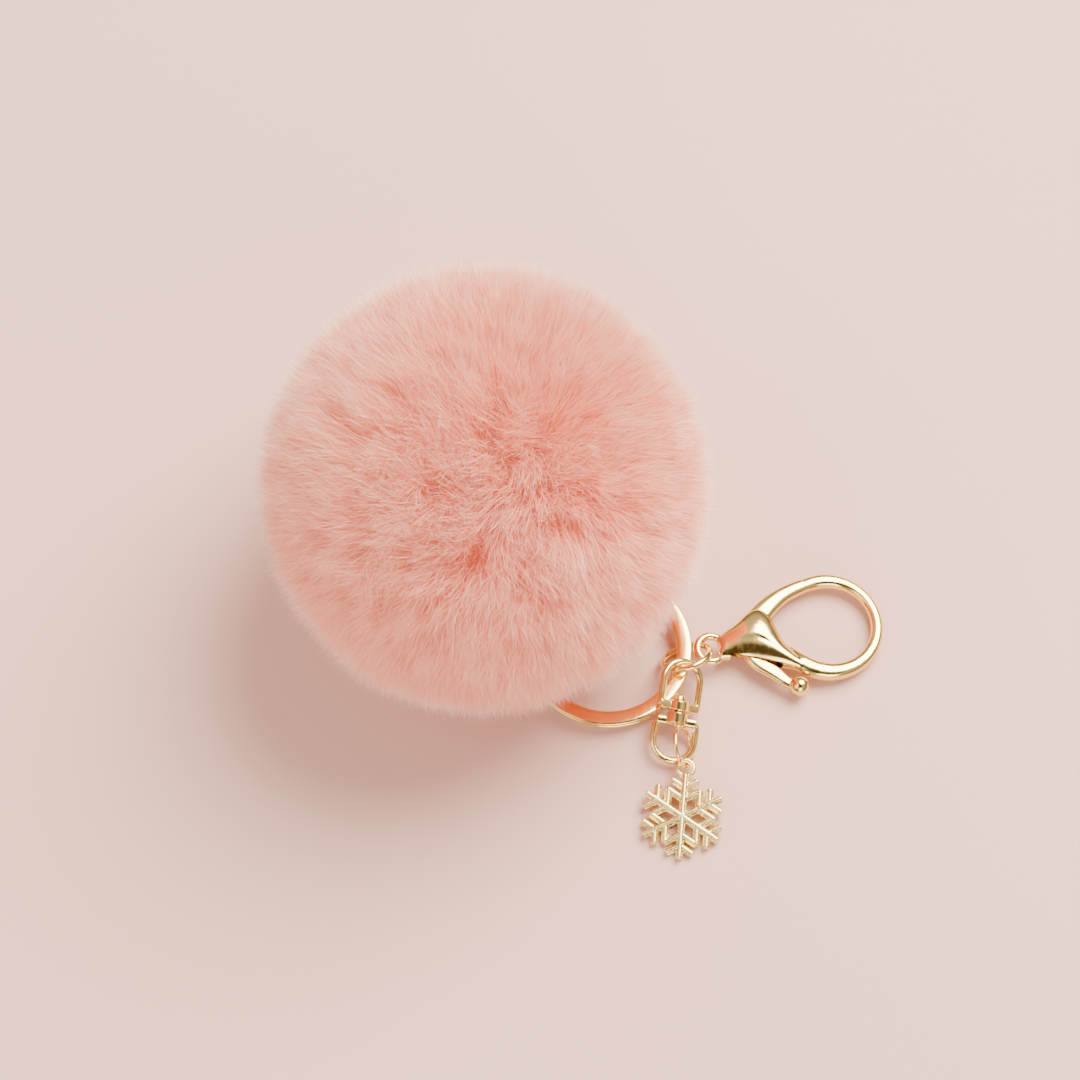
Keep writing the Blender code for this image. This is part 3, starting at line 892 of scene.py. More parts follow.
@dataclass(frozen=True)
class FloorFinish:
    """Plain pale card."""

    name: str
    light: Colour
    dark: Colour
    cloud_size: float = 5.0
    roughness: float = 0.9
    gloss: float = 0.2

    def make(self, groups: Groups) -> Material:
        """Make the material.

        Args:
            groups: the shared node groups.

        Returns:
            The material.
        """
        material, tree, shader = new_material(self.name)
        cloud = use_group(tree, groups.clouding, Size=self.cloud_size, Contrast=1.0)
        tone = blend_colour(tree, cloud.outputs["Mask"], self.light, self.dark)
        tree.links.new(tone, shader.inputs["Base Color"])
        shader.inputs["Roughness"].default_value = self.roughness
        shader.inputs["Specular IOR Level"].default_value = self.gloss
        return material


@dataclass(frozen=True)
class Finishes:
    """Every finish on the keychain, made."""

    fur: Material
    underfur: Material
    knit: Material
    fibre: Material
    thread: Material
    cord: Material
    gold: Material
    pale_gold: Material
    steel: Material
    floor: Material


def make_finishes() -> Finishes:
    """Make the shared node groups and every finish.

    Returns:
        The finishes.
    """
    groups = Groups(clouding_group(), scratch_group(), strand_weave_group())
    recipes = {
        "fur": FurFinish(
            "coral_fur",
            root=(0.96, 0.31, 0.17),
            middle=(0.98, 0.47, 0.31),
            tip=(1.0, 0.70, 0.54),
            end=(1.0, 0.92, 0.84),
            dusky_and_shade=(0.85, 0.66, 0.60),
        ),
        "underfur": FurFinish(
            "coral_underfur",
            root=(0.94, 0.30, 0.16),
            middle=(0.96, 0.40, 0.25),
            tip=(0.98, 0.53, 0.38),
            end=(0.98, 0.58, 0.43),
            dusky_and_shade=(0.86, 0.68, 0.62),
        ),
        "knit": YarnFinish("knit_backing", (0.72, 0.28, 0.22), (0.50, 0.16, 0.12), 1100.0, 0.25),
        "fibre": YarnFinish("fibre_filling", (0.86, 0.84, 0.80), (0.70, 0.68, 0.64), 600.0, 0.4),
        "thread": YarnFinish("gathering_thread", (0.74, 0.32, 0.26), (0.45, 0.15, 0.12), 2600.0, 0.08),
        "cord": YarnFinish("elastic_cord", (0.90, 0.40, 0.31), (0.62, 0.22, 0.16), 2200.0, 0.1),
        "gold": MetalFinish("gold_plating", (0.95, 0.73, 0.28), (0.89, 0.63, 0.19), roughness=(0.12, 0.22)),
        "pale_gold": MetalFinish(
            "pale_gold_plating",
            bright=(0.92, 0.78, 0.36),
            deep=(0.80, 0.65, 0.25),
            roughness=(0.20, 0.34),
            wear=Wear.HANDLED,
        ),
        "steel": MetalFinish(
            "spring_steel", (0.60, 0.58, 0.56), (0.50, 0.48, 0.46), roughness=(0.2, 0.35), wear=Wear.HANDLED
        ),
        "floor": FloorFinish("pale_card", (0.72, 0.45, 0.36), (0.69, 0.425, 0.34)),
    }
    return Finishes(**{name: recipe.make(groups) for name, recipe in recipes.items()})


def dress(piece: Piece, material: Material, slot: str, body: Body, *nodes: str) -> None:
    """Finish a piece and put it on the frame.

    Args:
        piece: the piece.
        material: its finish.
        slot: the record's material slot that it stands for; not used.
        body: the body that it rides on.
        nodes: the CAD nodes that it replaces.
    """
    piece.data.materials.clear()
    piece.data.materials.append(material)
    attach(piece, body.value)
    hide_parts(*nodes)
    log.info("%s: %d faces on %s", piece.name, len(piece.data.polygons), body.value)


def finish_node(node: str, material: Material) -> None:
    """Give a CAD node that keeps its shape its finish.

    Args:
        node: the node's name.
        material: its finish.
    """
    for material_slot in frame["nodes"][node].material_slots:
        material_slot.material = material
    log.info("%s: kept from the frame", node)


# the pompom


def unit(vectors: np.ndarray) -> np.ndarray:
    """Vectors scaled to length one."""
    return vectors / np.linalg.norm(vectors, axis=-1, keepdims=True)


def spread_directions(count: int, jitter: float, rng: np.random.Generator) -> np.ndarray:
    """Directions spread evenly over a ball.

    Args:
        count: how many.
        jitter: how far each strays, in steps between neighbours.
        rng: the random numbers.

    Returns:
        Unit vectors, count by 3.
    """
    number = np.arange(count) + 0.5
    height = 1 - 2 * number / count
    turn = number * math.pi * (1 + math.sqrt(5))
    level = np.sqrt(1 - height * height)
    even = np.column_stack((level * np.cos(turn), level * np.sin(turn), height))
    step = math.sqrt(4 * math.pi / count)
    return unit(even + rng.normal(0.0, jitter * step, (count, 3)))


def nearest_direction(directions: np.ndarray, choices: np.ndarray) -> np.ndarray:
    """Which of a few directions each direction is closest to.

    Args:
        directions: unit vectors, n by 3.
        choices: unit vectors, m by 3.

    Returns:
        n numbers into choices.
    """
    found = np.empty(len(directions), np.int64)
    across = choices.T.astype(np.float32)
    for start in range(0, len(directions), DIRECTIONS_AT_ONCE):
        chosen = slice(start, start + DIRECTIONS_AT_ONCE)
        found[chosen] = (directions[chosen].astype(np.float32) @ across).argmax(axis=1)
    return found


def drift(directions: np.ndarray, waves: np.ndarray, phases: np.ndarray) -> np.ndarray:
    """A smooth vector field over a ball, made of a few waves.

    Args:
        directions: unit vectors, n by 3.
        waves: wave vectors, k by 3.
        phases: phases, k by 3.

    Returns:
        Vectors along the surface, n by 3.
    """
    field = np.zeros_like(directions)
    for wave, phase in zip(waves, phases):
        field += np.sin((directions @ wave)[:, None] + phase)
    field /= math.sqrt(len(waves))
    return field - directions * (field * directions).sum(axis=1, keepdims=True)


@dataclass
class StrandCoat:
    """One length of fur: how many strands, how wide they are and how far they reach."""

    name: str
    strands: int
    segments: int
    width: float
    tip_radius: float
    shortest: float
    clump: float
    lean: float
    pieces: int


@dataclass
class Pompom:
    """The fur ball with the backing, filling, thread, cord and knot inside it."""

    seed: int = 7
    root_radius: float = 23.8
    big_tufts: int = 1500
    small_tufts: int = 9000
    floor_height: float = 0.25
    ring_top: float = 4.5
    ring_reach: float = 15.9
    ring_fade: float = 1.6
    mouth_angle: float = 5.0
    layout_columns: int = 128
    layout_margin: float = 0.12
    tuft_stray: float = 0.35
    strand_stray: float = 0.5
    wave_count: int = 5
    wave_pitch: float = 2.6
    smooth_lit_side: tuple[float, float, float] = (0.75, 0.45, 0.48)
    smooth_clumping: float = 0.5
    smooth_leaning: float = 0.35
    grip: tuple[float, float] = (0.45, 1.1)
    big_tuft_pull: float = 0.4
    lean_shares: tuple[float, float, float] = (0.5, 0.2, 0.5)
    length_spread: tuple[float, float] = (0.022, 0.025)
    gather_power: float = 1.1
    lean_power: float = 1.9
    droop: float = 0.04
    # how strongly painted shade darkens the side turned away from the key light
    painted_shade_depth: float = 0.55
    painted_shade_middle: float = 0.7
    tuft_tone: float = 0.3
    strand_tone: float = 0.6
    pile_lift: float = 0.9
    taper_power: float = 2.2
    taper_depth: float = 0.75
    width_spread: tuple[float, float] = (0.75, 1.25)
    quick_share: float = 0.25

    def __post_init__(self) -> None:
        """Take the ball's middle and the ring's middle from the frame."""
        self.centre = np.array(box_centre("fur_backing")) / MM
        ring_middle, _ = joint_place("link_slide")
        self.ring_middle = np.array(ring_middle) / MM
        self.mouth = unit(np.array(box_centre("gather_thread")) / MM - self.centre)
        self.rng = np.random.default_rng(self.seed)
        self.big = spread_directions(self.big_tufts, self.tuft_stray, self.rng)
        self.small = spread_directions(self.small_tufts, self.tuft_stray, self.rng)
        self.big_lean = self.rng.normal(0.0, 1.0, (self.big_tufts, 3))
        self.big_length = self.rng.normal(0.0, 1.0, self.big_tufts)
        self.small_length = self.rng.normal(0.0, 1.0, self.small_tufts)
        self.big_tone = self.rng.uniform(0.0, 1.0, self.big_tufts)
        self.waves = self.rng.normal(0.0, self.wave_pitch, (self.wave_count, 3))
        self.phases = self.rng.uniform(0.0, 2 * math.pi, (self.wave_count, 3))

    def strand_paths(self, coat: StrandCoat) -> tuple[np.ndarray, np.ndarray]:
        """Grow every strand of a coat.

        Args:
            coat: the coat's sizes.

        Returns:
            The strands' points, n by segments + 1 by 3, in millimetres, and each strand's tone, random tone
            with painted shade mixed in.
        """
        rng = self.rng
        root = spread_directions(coat.strands, self.strand_stray, rng)
        root = root[root @ self.mouth < math.cos(math.radians(self.mouth_angle))]
        count = len(root)
        small = nearest_direction(root, self.small)
        big = nearest_direction(self.small, self.big)[small]
        # the share towards the upper right, where the fur lies smoother and where the key light falls
        smooth_lit_share = 0.5 + 0.5 * np.clip(root @ unit(np.array(self.smooth_lit_side)), -1, 1)
        grip = coat.clump * (1.0 - self.smooth_clumping * smooth_lit_share) * rng.uniform(*self.grip, count)
        tuft = self.small[small] + (self.big[big] - self.small[small]) * self.big_tuft_pull
        pull = (tuft - root) * grip[:, None]
        lean = self.big_lean[big] - root * (self.big_lean[big] * root).sum(axis=1, keepdims=True)
        tuft_share, drift_share, own_share = self.lean_shares
        lean = lean * tuft_share + drift(root, self.waves, self.phases) * drift_share
        lean = lean + rng.normal(0.0, own_share, (count, 3))
        lean *= coat.lean * (1.0 - self.smooth_leaning * smooth_lit_share)[:, None]
        big_spread, small_spread = self.length_spread
        length = 1.0 + big_spread * self.big_length[big] + small_spread * self.small_length[small]
        length = length * rng.uniform(coat.shortest, 1.0, count) ** 0.5
        reach = (coat.tip_radius - self.root_radius) * length
        steps = np.linspace(0, 1, coat.segments + 1)
        paths = np.empty((count, coat.segments + 1, 3))
        for i, t in enumerate(steps):
            heading = unit(root + pull * t**self.gather_power + lean * t**self.lean_power)
            radius = self.root_radius + reach * (t - self.droop * t * t)
            paths[:, i] = self.centre + heading * radius[:, None]
        # painted shade: strands on the side turned away from the key light get a darker tone
        shaded = self.painted_shade_depth * (self.painted_shade_middle - smooth_lit_share)
        own_tone = rng.uniform(0.0, self.strand_tone, count)
        tone = np.clip(self.tuft_tone * self.big_tone[big] + own_tone + shaded, 0, 1)
        return self.rest_on_things(paths), tone

    def rest_on_things(self, paths: np.ndarray) -> np.ndarray:
        """Lift strands off the surface and off the split ring.

        Args:
            paths: the strands' points, in millimetres.

        Returns:
            The points, lifted.
        """
        from_ring = np.linalg.norm(paths[..., :2] - self.ring_middle[:2], axis=-1)
        over_ring = np.clip((self.ring_reach + self.ring_fade - from_ring) / self.ring_fade, 0, 1)
        lift = self.rng.uniform(0.0, self.pile_lift, paths.shape[:1])[:, None]
        lowest = self.floor_height + (self.ring_top - self.floor_height) * over_ring + lift
        paths[..., 2] = np.maximum(paths[..., 2], lowest)
        return paths

    def ribbon_piece(self, coat: StrandCoat, name: str, paths: np.ndarray, tone: np.ndarray) -> Piece:
        """Make strands into tapering ribbons.

        Args:
            coat: the coat's sizes.
            name: the piece's name.
            paths: the strands' points.
            tone: each strand's tone, random tone with painted shade mixed in.

        Returns:
            The piece, with its along and tone attributes.
        """
        count, rows, _ = paths.shape
        heading = unit(paths[:, -1] - paths[:, 0])
        side = unit(np.cross(heading, unit(self.rng.normal(0.0, 1.0, (count, 3)))))
        steps = np.linspace(0, 1, rows)[:-1]
        taper = (1.0 - steps**self.taper_power * self.taper_depth) * coat.width / 2
        width = taper[None, :] * self.rng.uniform(*self.width_spread, count)[:, None]
        body = paths[:, :-1]
        left = body - side[:, None] * width[..., None]
        right = body + side[:, None] * width[..., None]
        pairs = np.stack((left, right), axis=2).reshape(count, -1, 3)
        verts = np.concatenate((pairs, paths[:, -1:]), axis=1)
        each = verts.shape[1]
        first = (np.arange(count) * each)[:, None, None]
        quads = np.array([[2 * i, 2 * i + 1, 2 * i + 3, 2 * i + 2] for i in range(rows - 2)])
        tip = np.array([[each - 3, each - 2, each - 1]])
        quad_corners = (first + quads[None]).reshape(count, -1)
        tip_corners = (first + tip[None]).reshape(count, -1)
        corners = np.concatenate((quad_corners, tip_corners), axis=1).ravel()
        sizes = np.tile(np.array([4] * (rows - 2) + [3]), count)
        starts = np.concatenate(([0], np.cumsum(sizes)[:-1]))
        mesh = bpy.data.meshes.new(name)
        mesh.vertices.add(count * each)
        mesh.vertices.foreach_set("co", (verts * MM).astype(np.float32).ravel())
        mesh.loops.add(len(corners))
        mesh.loops.foreach_set("vertex_index", corners.astype(np.int32))
        mesh.polygons.add(len(sizes))
        mesh.polygons.foreach_set("loop_start", starts.astype(np.int32))
        mesh.update(calc_edges=True)
        mesh.shade_smooth()
        share = np.concatenate((np.repeat(steps, 2), [1.0]))
        along = mesh.attributes.new("along", "FLOAT", "POINT")
        along.data.foreach_set("value", np.tile(share, count).astype(np.float32))
        tones_and_shade = mesh.attributes.new("tone", "FLOAT", "POINT")
        tones_and_shade.data.foreach_set("value", np.repeat(tone, each).astype(np.float32))
        self.lay_out_strands(mesh, count, rows)
        piece = bpy.data.objects.new(name, mesh)
        bpy.context.scene.collection.objects.link(piece)
        return piece

    def lay_out_strands(self, mesh: Mesh, count: int, rows: int) -> None:
        """Give every strand its own small cell of a flat layout.

        Args:
            mesh: the strands' mesh.
            count: how many strands it holds.
            rows: points along each.
        """
        columns = self.layout_columns
        lines = math.ceil(count / columns)
        number = np.arange(count)
        cell = np.column_stack((number % columns, number // columns))
        share = np.concatenate((np.repeat(np.linspace(0, 1, rows)[:-1], 2), [1.0]))
        across = np.concatenate((np.tile([0.0, 1.0], rows - 1), [0.5]))
        inside = self.layout_margin + (1 - 2 * self.layout_margin) * np.column_stack((share, across))
        points = (cell[:, None, :] + inside[None]) / np.array([columns, lines])
        corners = np.empty(len(mesh.loops), np.int32)
        mesh.loops.foreach_get("vertex_index", corners)
        layer = mesh.uv_layers.new(name=STRAND_LAYOUT)
        layer.uv.foreach_set("vector", points.reshape(-1, 2)[corners].astype(np.float32).ravel())

    def grow(self, coat: StrandCoat, material: Material) -> None:
        """Grow a coat in gores, as the fur is cut.

        Args:
            coat: the coat's sizes.
            material: its finish.
        """
        paths, tone = self.strand_paths(coat)
        around = paths[:, 0] - self.centre
        turn = np.arctan2(around[:, 1], around[:, 0])
        order = np.argsort(turn)
        for number, chosen in enumerate(np.array_split(order, coat.pieces)):
            name = f"{coat.name}_{number + 1}"
            piece = self.ribbon_piece(coat, name, paths[chosen], tone[chosen])
            dress(piece, material, "coral_fur", Body.POMPOM, "fur_pile")

    def build(self, finishes: Finishes) -> None:
        """Grow the fur and finish what it hides.

        Args:
            finishes: the finishes.
        """
        thin = 1.0
        underfur = StrandCoat(
            name="underfur",
            strands=int(70000 * thin),
            segments=3,
            width=0.24,
            tip_radius=38.6,
            shortest=0.55,
            clump=0.3,
            lean=0.16,
            pieces=2,
        )
        fur = StrandCoat(
            name="fur",
            strands=int(170000 * thin),
            segments=5,
            width=0.125,
            tip_radius=41.6,
            shortest=0.70,
            clump=0.60,
            lean=0.12,
            pieces=9,
        )
        self.grow(underfur, finishes.underfur)
        self.grow(fur, finishes.fur)
        hidden = {
            "fur_backing": finishes.knit,
            "stuffing_ball": finishes.fibre,
            "gather_thread": finishes.thread,
            "cord_knot": finishes.cord,
            "hanging_cord": finishes.cord,
        }
        for node, material in hidden.items():
            finish_node(node, material)


# the metal pieces


@dataclass
class SplitRing:
    """The flat split ring: two coils of flat wire with a step between them."""

    outer_radius: float = 15.0
    band_width: float = 2.7
    coil_thickness: float = 0.9
    coil_gap: float = 0.1
    step_start: float = 82.0
    step_angle: float = 30.0
    end_gap: float = 3.0
    path_points: int = 420

    def path(self) -> np.ndarray:
        """The wire's centre line, round both coils.

        Returns:
            Its points, n by 3, in millimetres.
        """
        total = 720.0 - self.step_angle - 2 * self.end_gap
        first = self.step_start + self.step_angle + self.end_gap
        travelled = np.linspace(0.0, total, self.path_points)
        into_step = (travelled + self.end_gap - (360.0 - self.step_angle)) / self.step_angle
        share = np.clip(into_step, 0, 1)
        height = (self.coil_thickness + self.coil_gap) * (share * share * (3 - 2 * share) - 0.5)
        turn = np.radians(first + travelled)
        middle = self.outer_radius - self.band_width / 2
        return np.column_stack((middle * np.cos(turn), middle * np.sin(turn), height))

    def build(self, finishes: Finishes) -> None:
        """Make the ring.

        Args:
            finishes: the finishes.
        """
        centre, _ = joint_place("link_slide")
        ring = sweep(
            "split_ring_coils",
            self.path(),
            self.band_width / 2,
            self.coil_thickness / 2,
            Matrix.Translation(centre),
            squareness=3.6,
            sides=28,
            cap=0.12,
        )
        dress(ring, finishes.gold, "gold_plating", Body.KEY_RING, "split_ring")


@dataclass
class JumpRings:
    """The two round wire rings."""

    link_normal: Place = (-0.296, 0.624, 0.723)
    link_centre: Place = (35.91, -18.88, 3.58)
    link_radius: float = 4.31
    link_wire: float = 0.58
    charm_radius: float = 3.6
    charm_wire: float = 0.4
    end_gap: float = 1.6
    steps: int = 120

    def ring(self, name: str, radius: float, wire: float, place: Matrix) -> Piece:
        """A ring of round wire, open by a hairline.

        Args:
            name: the ring's name.
            radius: its middle radius.
            wire: the wire's radius.
            place: the ring's own frame.

        Returns:
            The ring.
        """
        path = arc((0.0, 0.0), radius, self.end_gap / 2, 360.0 - self.end_gap / 2, self.steps)
        return sweep(name, path, wire, wire, place, sides=24, cap=0.06)

    def build(self, finishes: Finishes) -> None:
        """Make both rings.

        Args:
            finishes: the finishes.
        """
        link_place = ring_matrix(Vector(self.link_centre) * MM, Vector(self.link_normal).normalized())
        link = self.ring("link_ring_wire", self.link_radius, self.link_wire, link_place)
        dress(link, finishes.gold, "gold_plating", Body.LINK, "link_ring")
        charm_place = ring_matrix(*joint_place("charm_ring_swing"))
        charm = self.ring("charm_ring_wire", self.charm_radius, self.charm_wire, charm_place)
        dress(charm, finishes.gold, "gold_plating", Body.CHARM_LINK, "charm_jump_ring")


@dataclass
class Clasp:
    """The lobster clasp: a cast body with eye and hook, and a trigger between its cheeks."""

    pivot: Point = (6.2, 1.6)
    eye_radius: float = 2.45
    eye_wire: float = 0.76
    eye_opening: float = 1.68
    hook_centre: Point = (21.4, 4.85)
    hook_radius: float = 8.85
    hook_start: float = -148.0
    hook_end: float = 121.5
    seam: Point = (16.6, 13.2)
    seam_normal: Point = (0.62, 0.785)
    seam_gap: float = 0.25
    seam_cutter: tuple[float, float] = (3.4, 5.0)
    body_half: float = 3.05
    body_edge: float = 0.5
    underside_share: float = 0.85
    slot_half: float = 1.35
    trigger_half: float = 1.05
    hub_radius: float = 2.3
    hub_edge: float = 0.2
    hub_hole: float = 0.78
    pin_radius: float = 0.6
    pin_length: float = 3.9
    pin_hole: float = 0.66
    pin_edge: tuple[float, float] = (0.3, 0.48)
    cutter_half: float = 4.0
    thumb_ball: Point = (15.9, -6.8)
    thumb_ball_radius: float = 1.85
    thumb_half: float = 2.0
    voxel: float = 0.13
    body_smoothing: int = 26
    trigger_smoothing: int = 4

    def place(self) -> Matrix:
        """The clasp's frame at its eye, from the trigger's joint.

        Returns:
            Its matrix.
        """
        pivot, axis = joint_place("trigger_turn")
        y_axis = Vector((0.0, 1.0, 0.0))
        turned = axes_matrix(pivot, y_axis.cross(axis).normalized(), y_axis)
        return turned @ Matrix.Translation((-self.pivot[0] * MM, -self.pivot[1] * MM, 0.0))

    def through(
        self, name: str, centre: Point, half: float, radii: Radii, place: Matrix, sides: int = 32
    ) -> Piece:
        """A turned solid that stands square to the clasp's plane.

        Args:
            name: its name.
            centre: where its axis meets the plane.
            half: half its length.
            radii: (share, radius) pairs.
            place: the clasp's frame.
            sides: points round it.

        Returns:
            The solid.
        """
        return rod(name, Vector((*centre, -half)), Vector((*centre, half)), radii, place, sides)

    def seam_block(self, name: str, side: float, place: Matrix) -> Piece:
        """A cutter on one side of the seam between hook and gate.

        Args:
            name: its name.
            side: 1 beyond the seam, towards the hook, or -1 towards the gate.
            place: the clasp's frame.

        Returns:
            The cutter.
        """
        normal = Vector((*self.seam_normal, 0.0)).normalized()
        radius, length = self.seam_cutter
        face = Vector((*self.seam, 0.0)) + normal * side * (self.seam_gap / 2)
        return rod(name, face, face + normal * side * length, even_radii(radius), place, 24)

    def body_casting(self, place: Matrix) -> Piece:
        """The body, hook and eye, cast in one.

        Args:
            place: the clasp's frame.

        Returns:
            The casting.
        """
        towards_gate = [(1.4, 1.9), (4.2, 4.6), (6.9, 7.3), (9.0, 7.8), (10.9, 6.3), (12.0, 3.9)]
        hook_root = [(13.3, 1.3), (15.2, -0.8), (17.0, -2.5), (16.5, -3.9), (14.2, -3.5)]
        underside = [(10.8, -2.9), (6.6, -2.1), (2.7, -2.1), (1.3, -1.7)]
        outline = smooth_line(towards_gate + hook_root + underside, steps=14, closed=True)
        spine = smooth_line([(2.6, 0.2), (6.0, 2.0), (9.0, 1.9), (12.4, -0.9), (15.6, -2.6)], steps=60)
        heights = [1.4, 2.6, self.body_half, 2.5, 1.6]
        shell = dome("clasp_shell", outline, spine, heights, self.body_edge, self.underside_share, place)
        hook_path = arc(self.hook_centre, self.hook_radius, self.hook_start, self.hook_end, steps=110)
        widths = np.array([1.0, 1.7, 1.65, 1.45, 1.3, 1.2, 1.12, 1.1, 1.12, 1.2, 1.3, 1.28])
        depths = np.array([0.9, 1.55, 1.6, 1.5, 1.4, 1.35, 1.3, 1.25, 1.25, 1.3, 1.35, 1.3])
        hook = sweep("clasp_hook", hook_path, widths, depths, place, squareness=2.5, sides=24)
        eye_line = circle(self.eye_radius, steps=72)
        eye = sweep("clasp_eye", eye_line, self.eye_wire, self.eye_wire, place, closed=True)
        casting = cast("clasp_casting", [shell, hook, eye], self.voxel, self.body_smoothing)
        cut(casting, self.seam_block("seam_cut", -1.0, place))
        slot_floor = [(12.6, -6.0), (13.0, -1.5), (12.7, 0.8), (12.0, 2.6), (13.2, 4.5), (13.0, 9.5)]
        slot = [(3.4, 9.5), (3.4, -6.0)] + slot_floor
        cut(casting, self.block("cheek_slot", slot, self.slot_half, place))
        eye_hole = even_radii(self.eye_opening)
        cut(casting, self.through("eye_hole", (0.0, 0.0), self.cutter_half, eye_hole, place, 64))
        pin_reach = self.pin_length / 2 + 0.05
        pin_hole = even_radii(self.pin_hole)
        return cut(casting, self.through("pin_hole", self.pivot, pin_reach, pin_hole, place))

    def block(self, name: str, outline: Outline, half: float, place: Matrix) -> Piece:
        """A flat outline with thickness on both sides of the clasp's plane.

        Args:
            name: its name.
            outline: its corners, in millimetres.
            half: half its thickness.
            place: the clasp's frame.

        Returns:
            The closed solid.
        """
        corners = np.array(outline, float)
        count = len(corners)
        low = np.column_stack((corners, np.full(count, -half)))
        high = np.column_stack((corners, np.full(count, half)))
        faces = [tuple(range(count))[::-1], tuple(range(count, 2 * count))]
        for k in range(count):
            after = (k + 1) % count
            faces.append((k, after, count + after, count + k))
        solid = mesh_piece(name, np.vstack((low, high)), faces, place)
        sorted_faces = bmesh.new()
        sorted_faces.from_mesh(solid.data)
        bmesh.ops.recalc_face_normals(sorted_faces, faces=sorted_faces.faces)
        sorted_faces.to_mesh(solid.data)
        sorted_faces.free()
        return solid

    def trigger_casting(self, place: Matrix) -> Piece:
        """The gate, hub, lever and thumb ball, cast in one.

        Args:
            place: the clasp's frame.

        Returns:
            The casting.
        """
        gate_end = [(11.3, 9.2), (13.9, 11.15), (17.26, 12.8), (18.4, 13.2)]
        gate_line = smooth_line([self.pivot, (7.2, 4.1), (9.0, 6.7)] + gate_end, steps=9)
        gate_widths = np.array([2.0, 2.15, 1.95, 1.7, 1.42, 1.26, 1.22])
        gate_depths = np.array([self.trigger_half] * 2 + [1.15, 1.25, 1.3, 1.3, 1.3])
        gate = sweep("gate", gate_line, gate_widths, gate_depths, place, squareness=2.6, sides=24)
        rim = self.hub_radius - self.hub_edge
        hub_radii = [(0.0, rim), (0.12, self.hub_radius), (0.88, self.hub_radius), (1.0, rim)]
        hub = self.through("hub", self.pivot, self.trigger_half, hub_radii, place, 40)
        lever_line = smooth_line([self.pivot, (8.2, -1.9), (11.4, -4.4), (13.6, -6.1), (15.2, -6.8)], steps=9)
        lever_widths = np.array([2.0, 1.75, 1.35, 1.0, 0.85])
        lever_depths = np.array([1.0, 0.95, 0.9, 0.85, 0.8])
        lever = sweep("lever", lever_line, lever_widths, lever_depths, place, squareness=3.0, sides=20)
        ball_shape = ball_radii(self.thumb_ball_radius, 2 * self.thumb_half)
        ball = self.through("thumb", self.thumb_ball, self.thumb_half, ball_shape, place, 40)
        casting = cast("trigger_casting", [gate, hub, lever, ball], self.voxel, self.trigger_smoothing)
        cut(casting, self.seam_block("gate_cut", 1.0, place))
        hole = even_radii(self.hub_hole)
        return cut(casting, self.through("trigger_hole", self.pivot, self.cutter_half, hole, place))

    def pin(self, place: Matrix) -> Piece:
        """The pin that the trigger turns on, with rounded ends.

        Args:
            place: the clasp's frame.

        Returns:
            The pin.
        """
        tip, shoulder = self.pin_edge
        start = [(0.0, tip), (0.02, shoulder), (0.05, self.pin_radius)]
        end = [(0.95, self.pin_radius), (0.98, shoulder), (1.0, tip)]
        return self.through("trigger_pin_round", self.pivot, self.pin_length / 2, start + end, place)

    def build(self, finishes: Finishes) -> None:
        """Make the clasp.

        Args:
            finishes: the finishes.
        """
        place = self.place()
        dress(self.body_casting(place), finishes.gold, "gold_plating", Body.CLASP, "clasp_body")
        dress(self.trigger_casting(place), finishes.gold, "gold_plating", Body.TRIGGER, "clasp_trigger")
        dress(self.pin(place), finishes.gold, "gold_plating", Body.CLASP, "trigger_pin")
        finish_node("trigger_spring", finishes.steel)


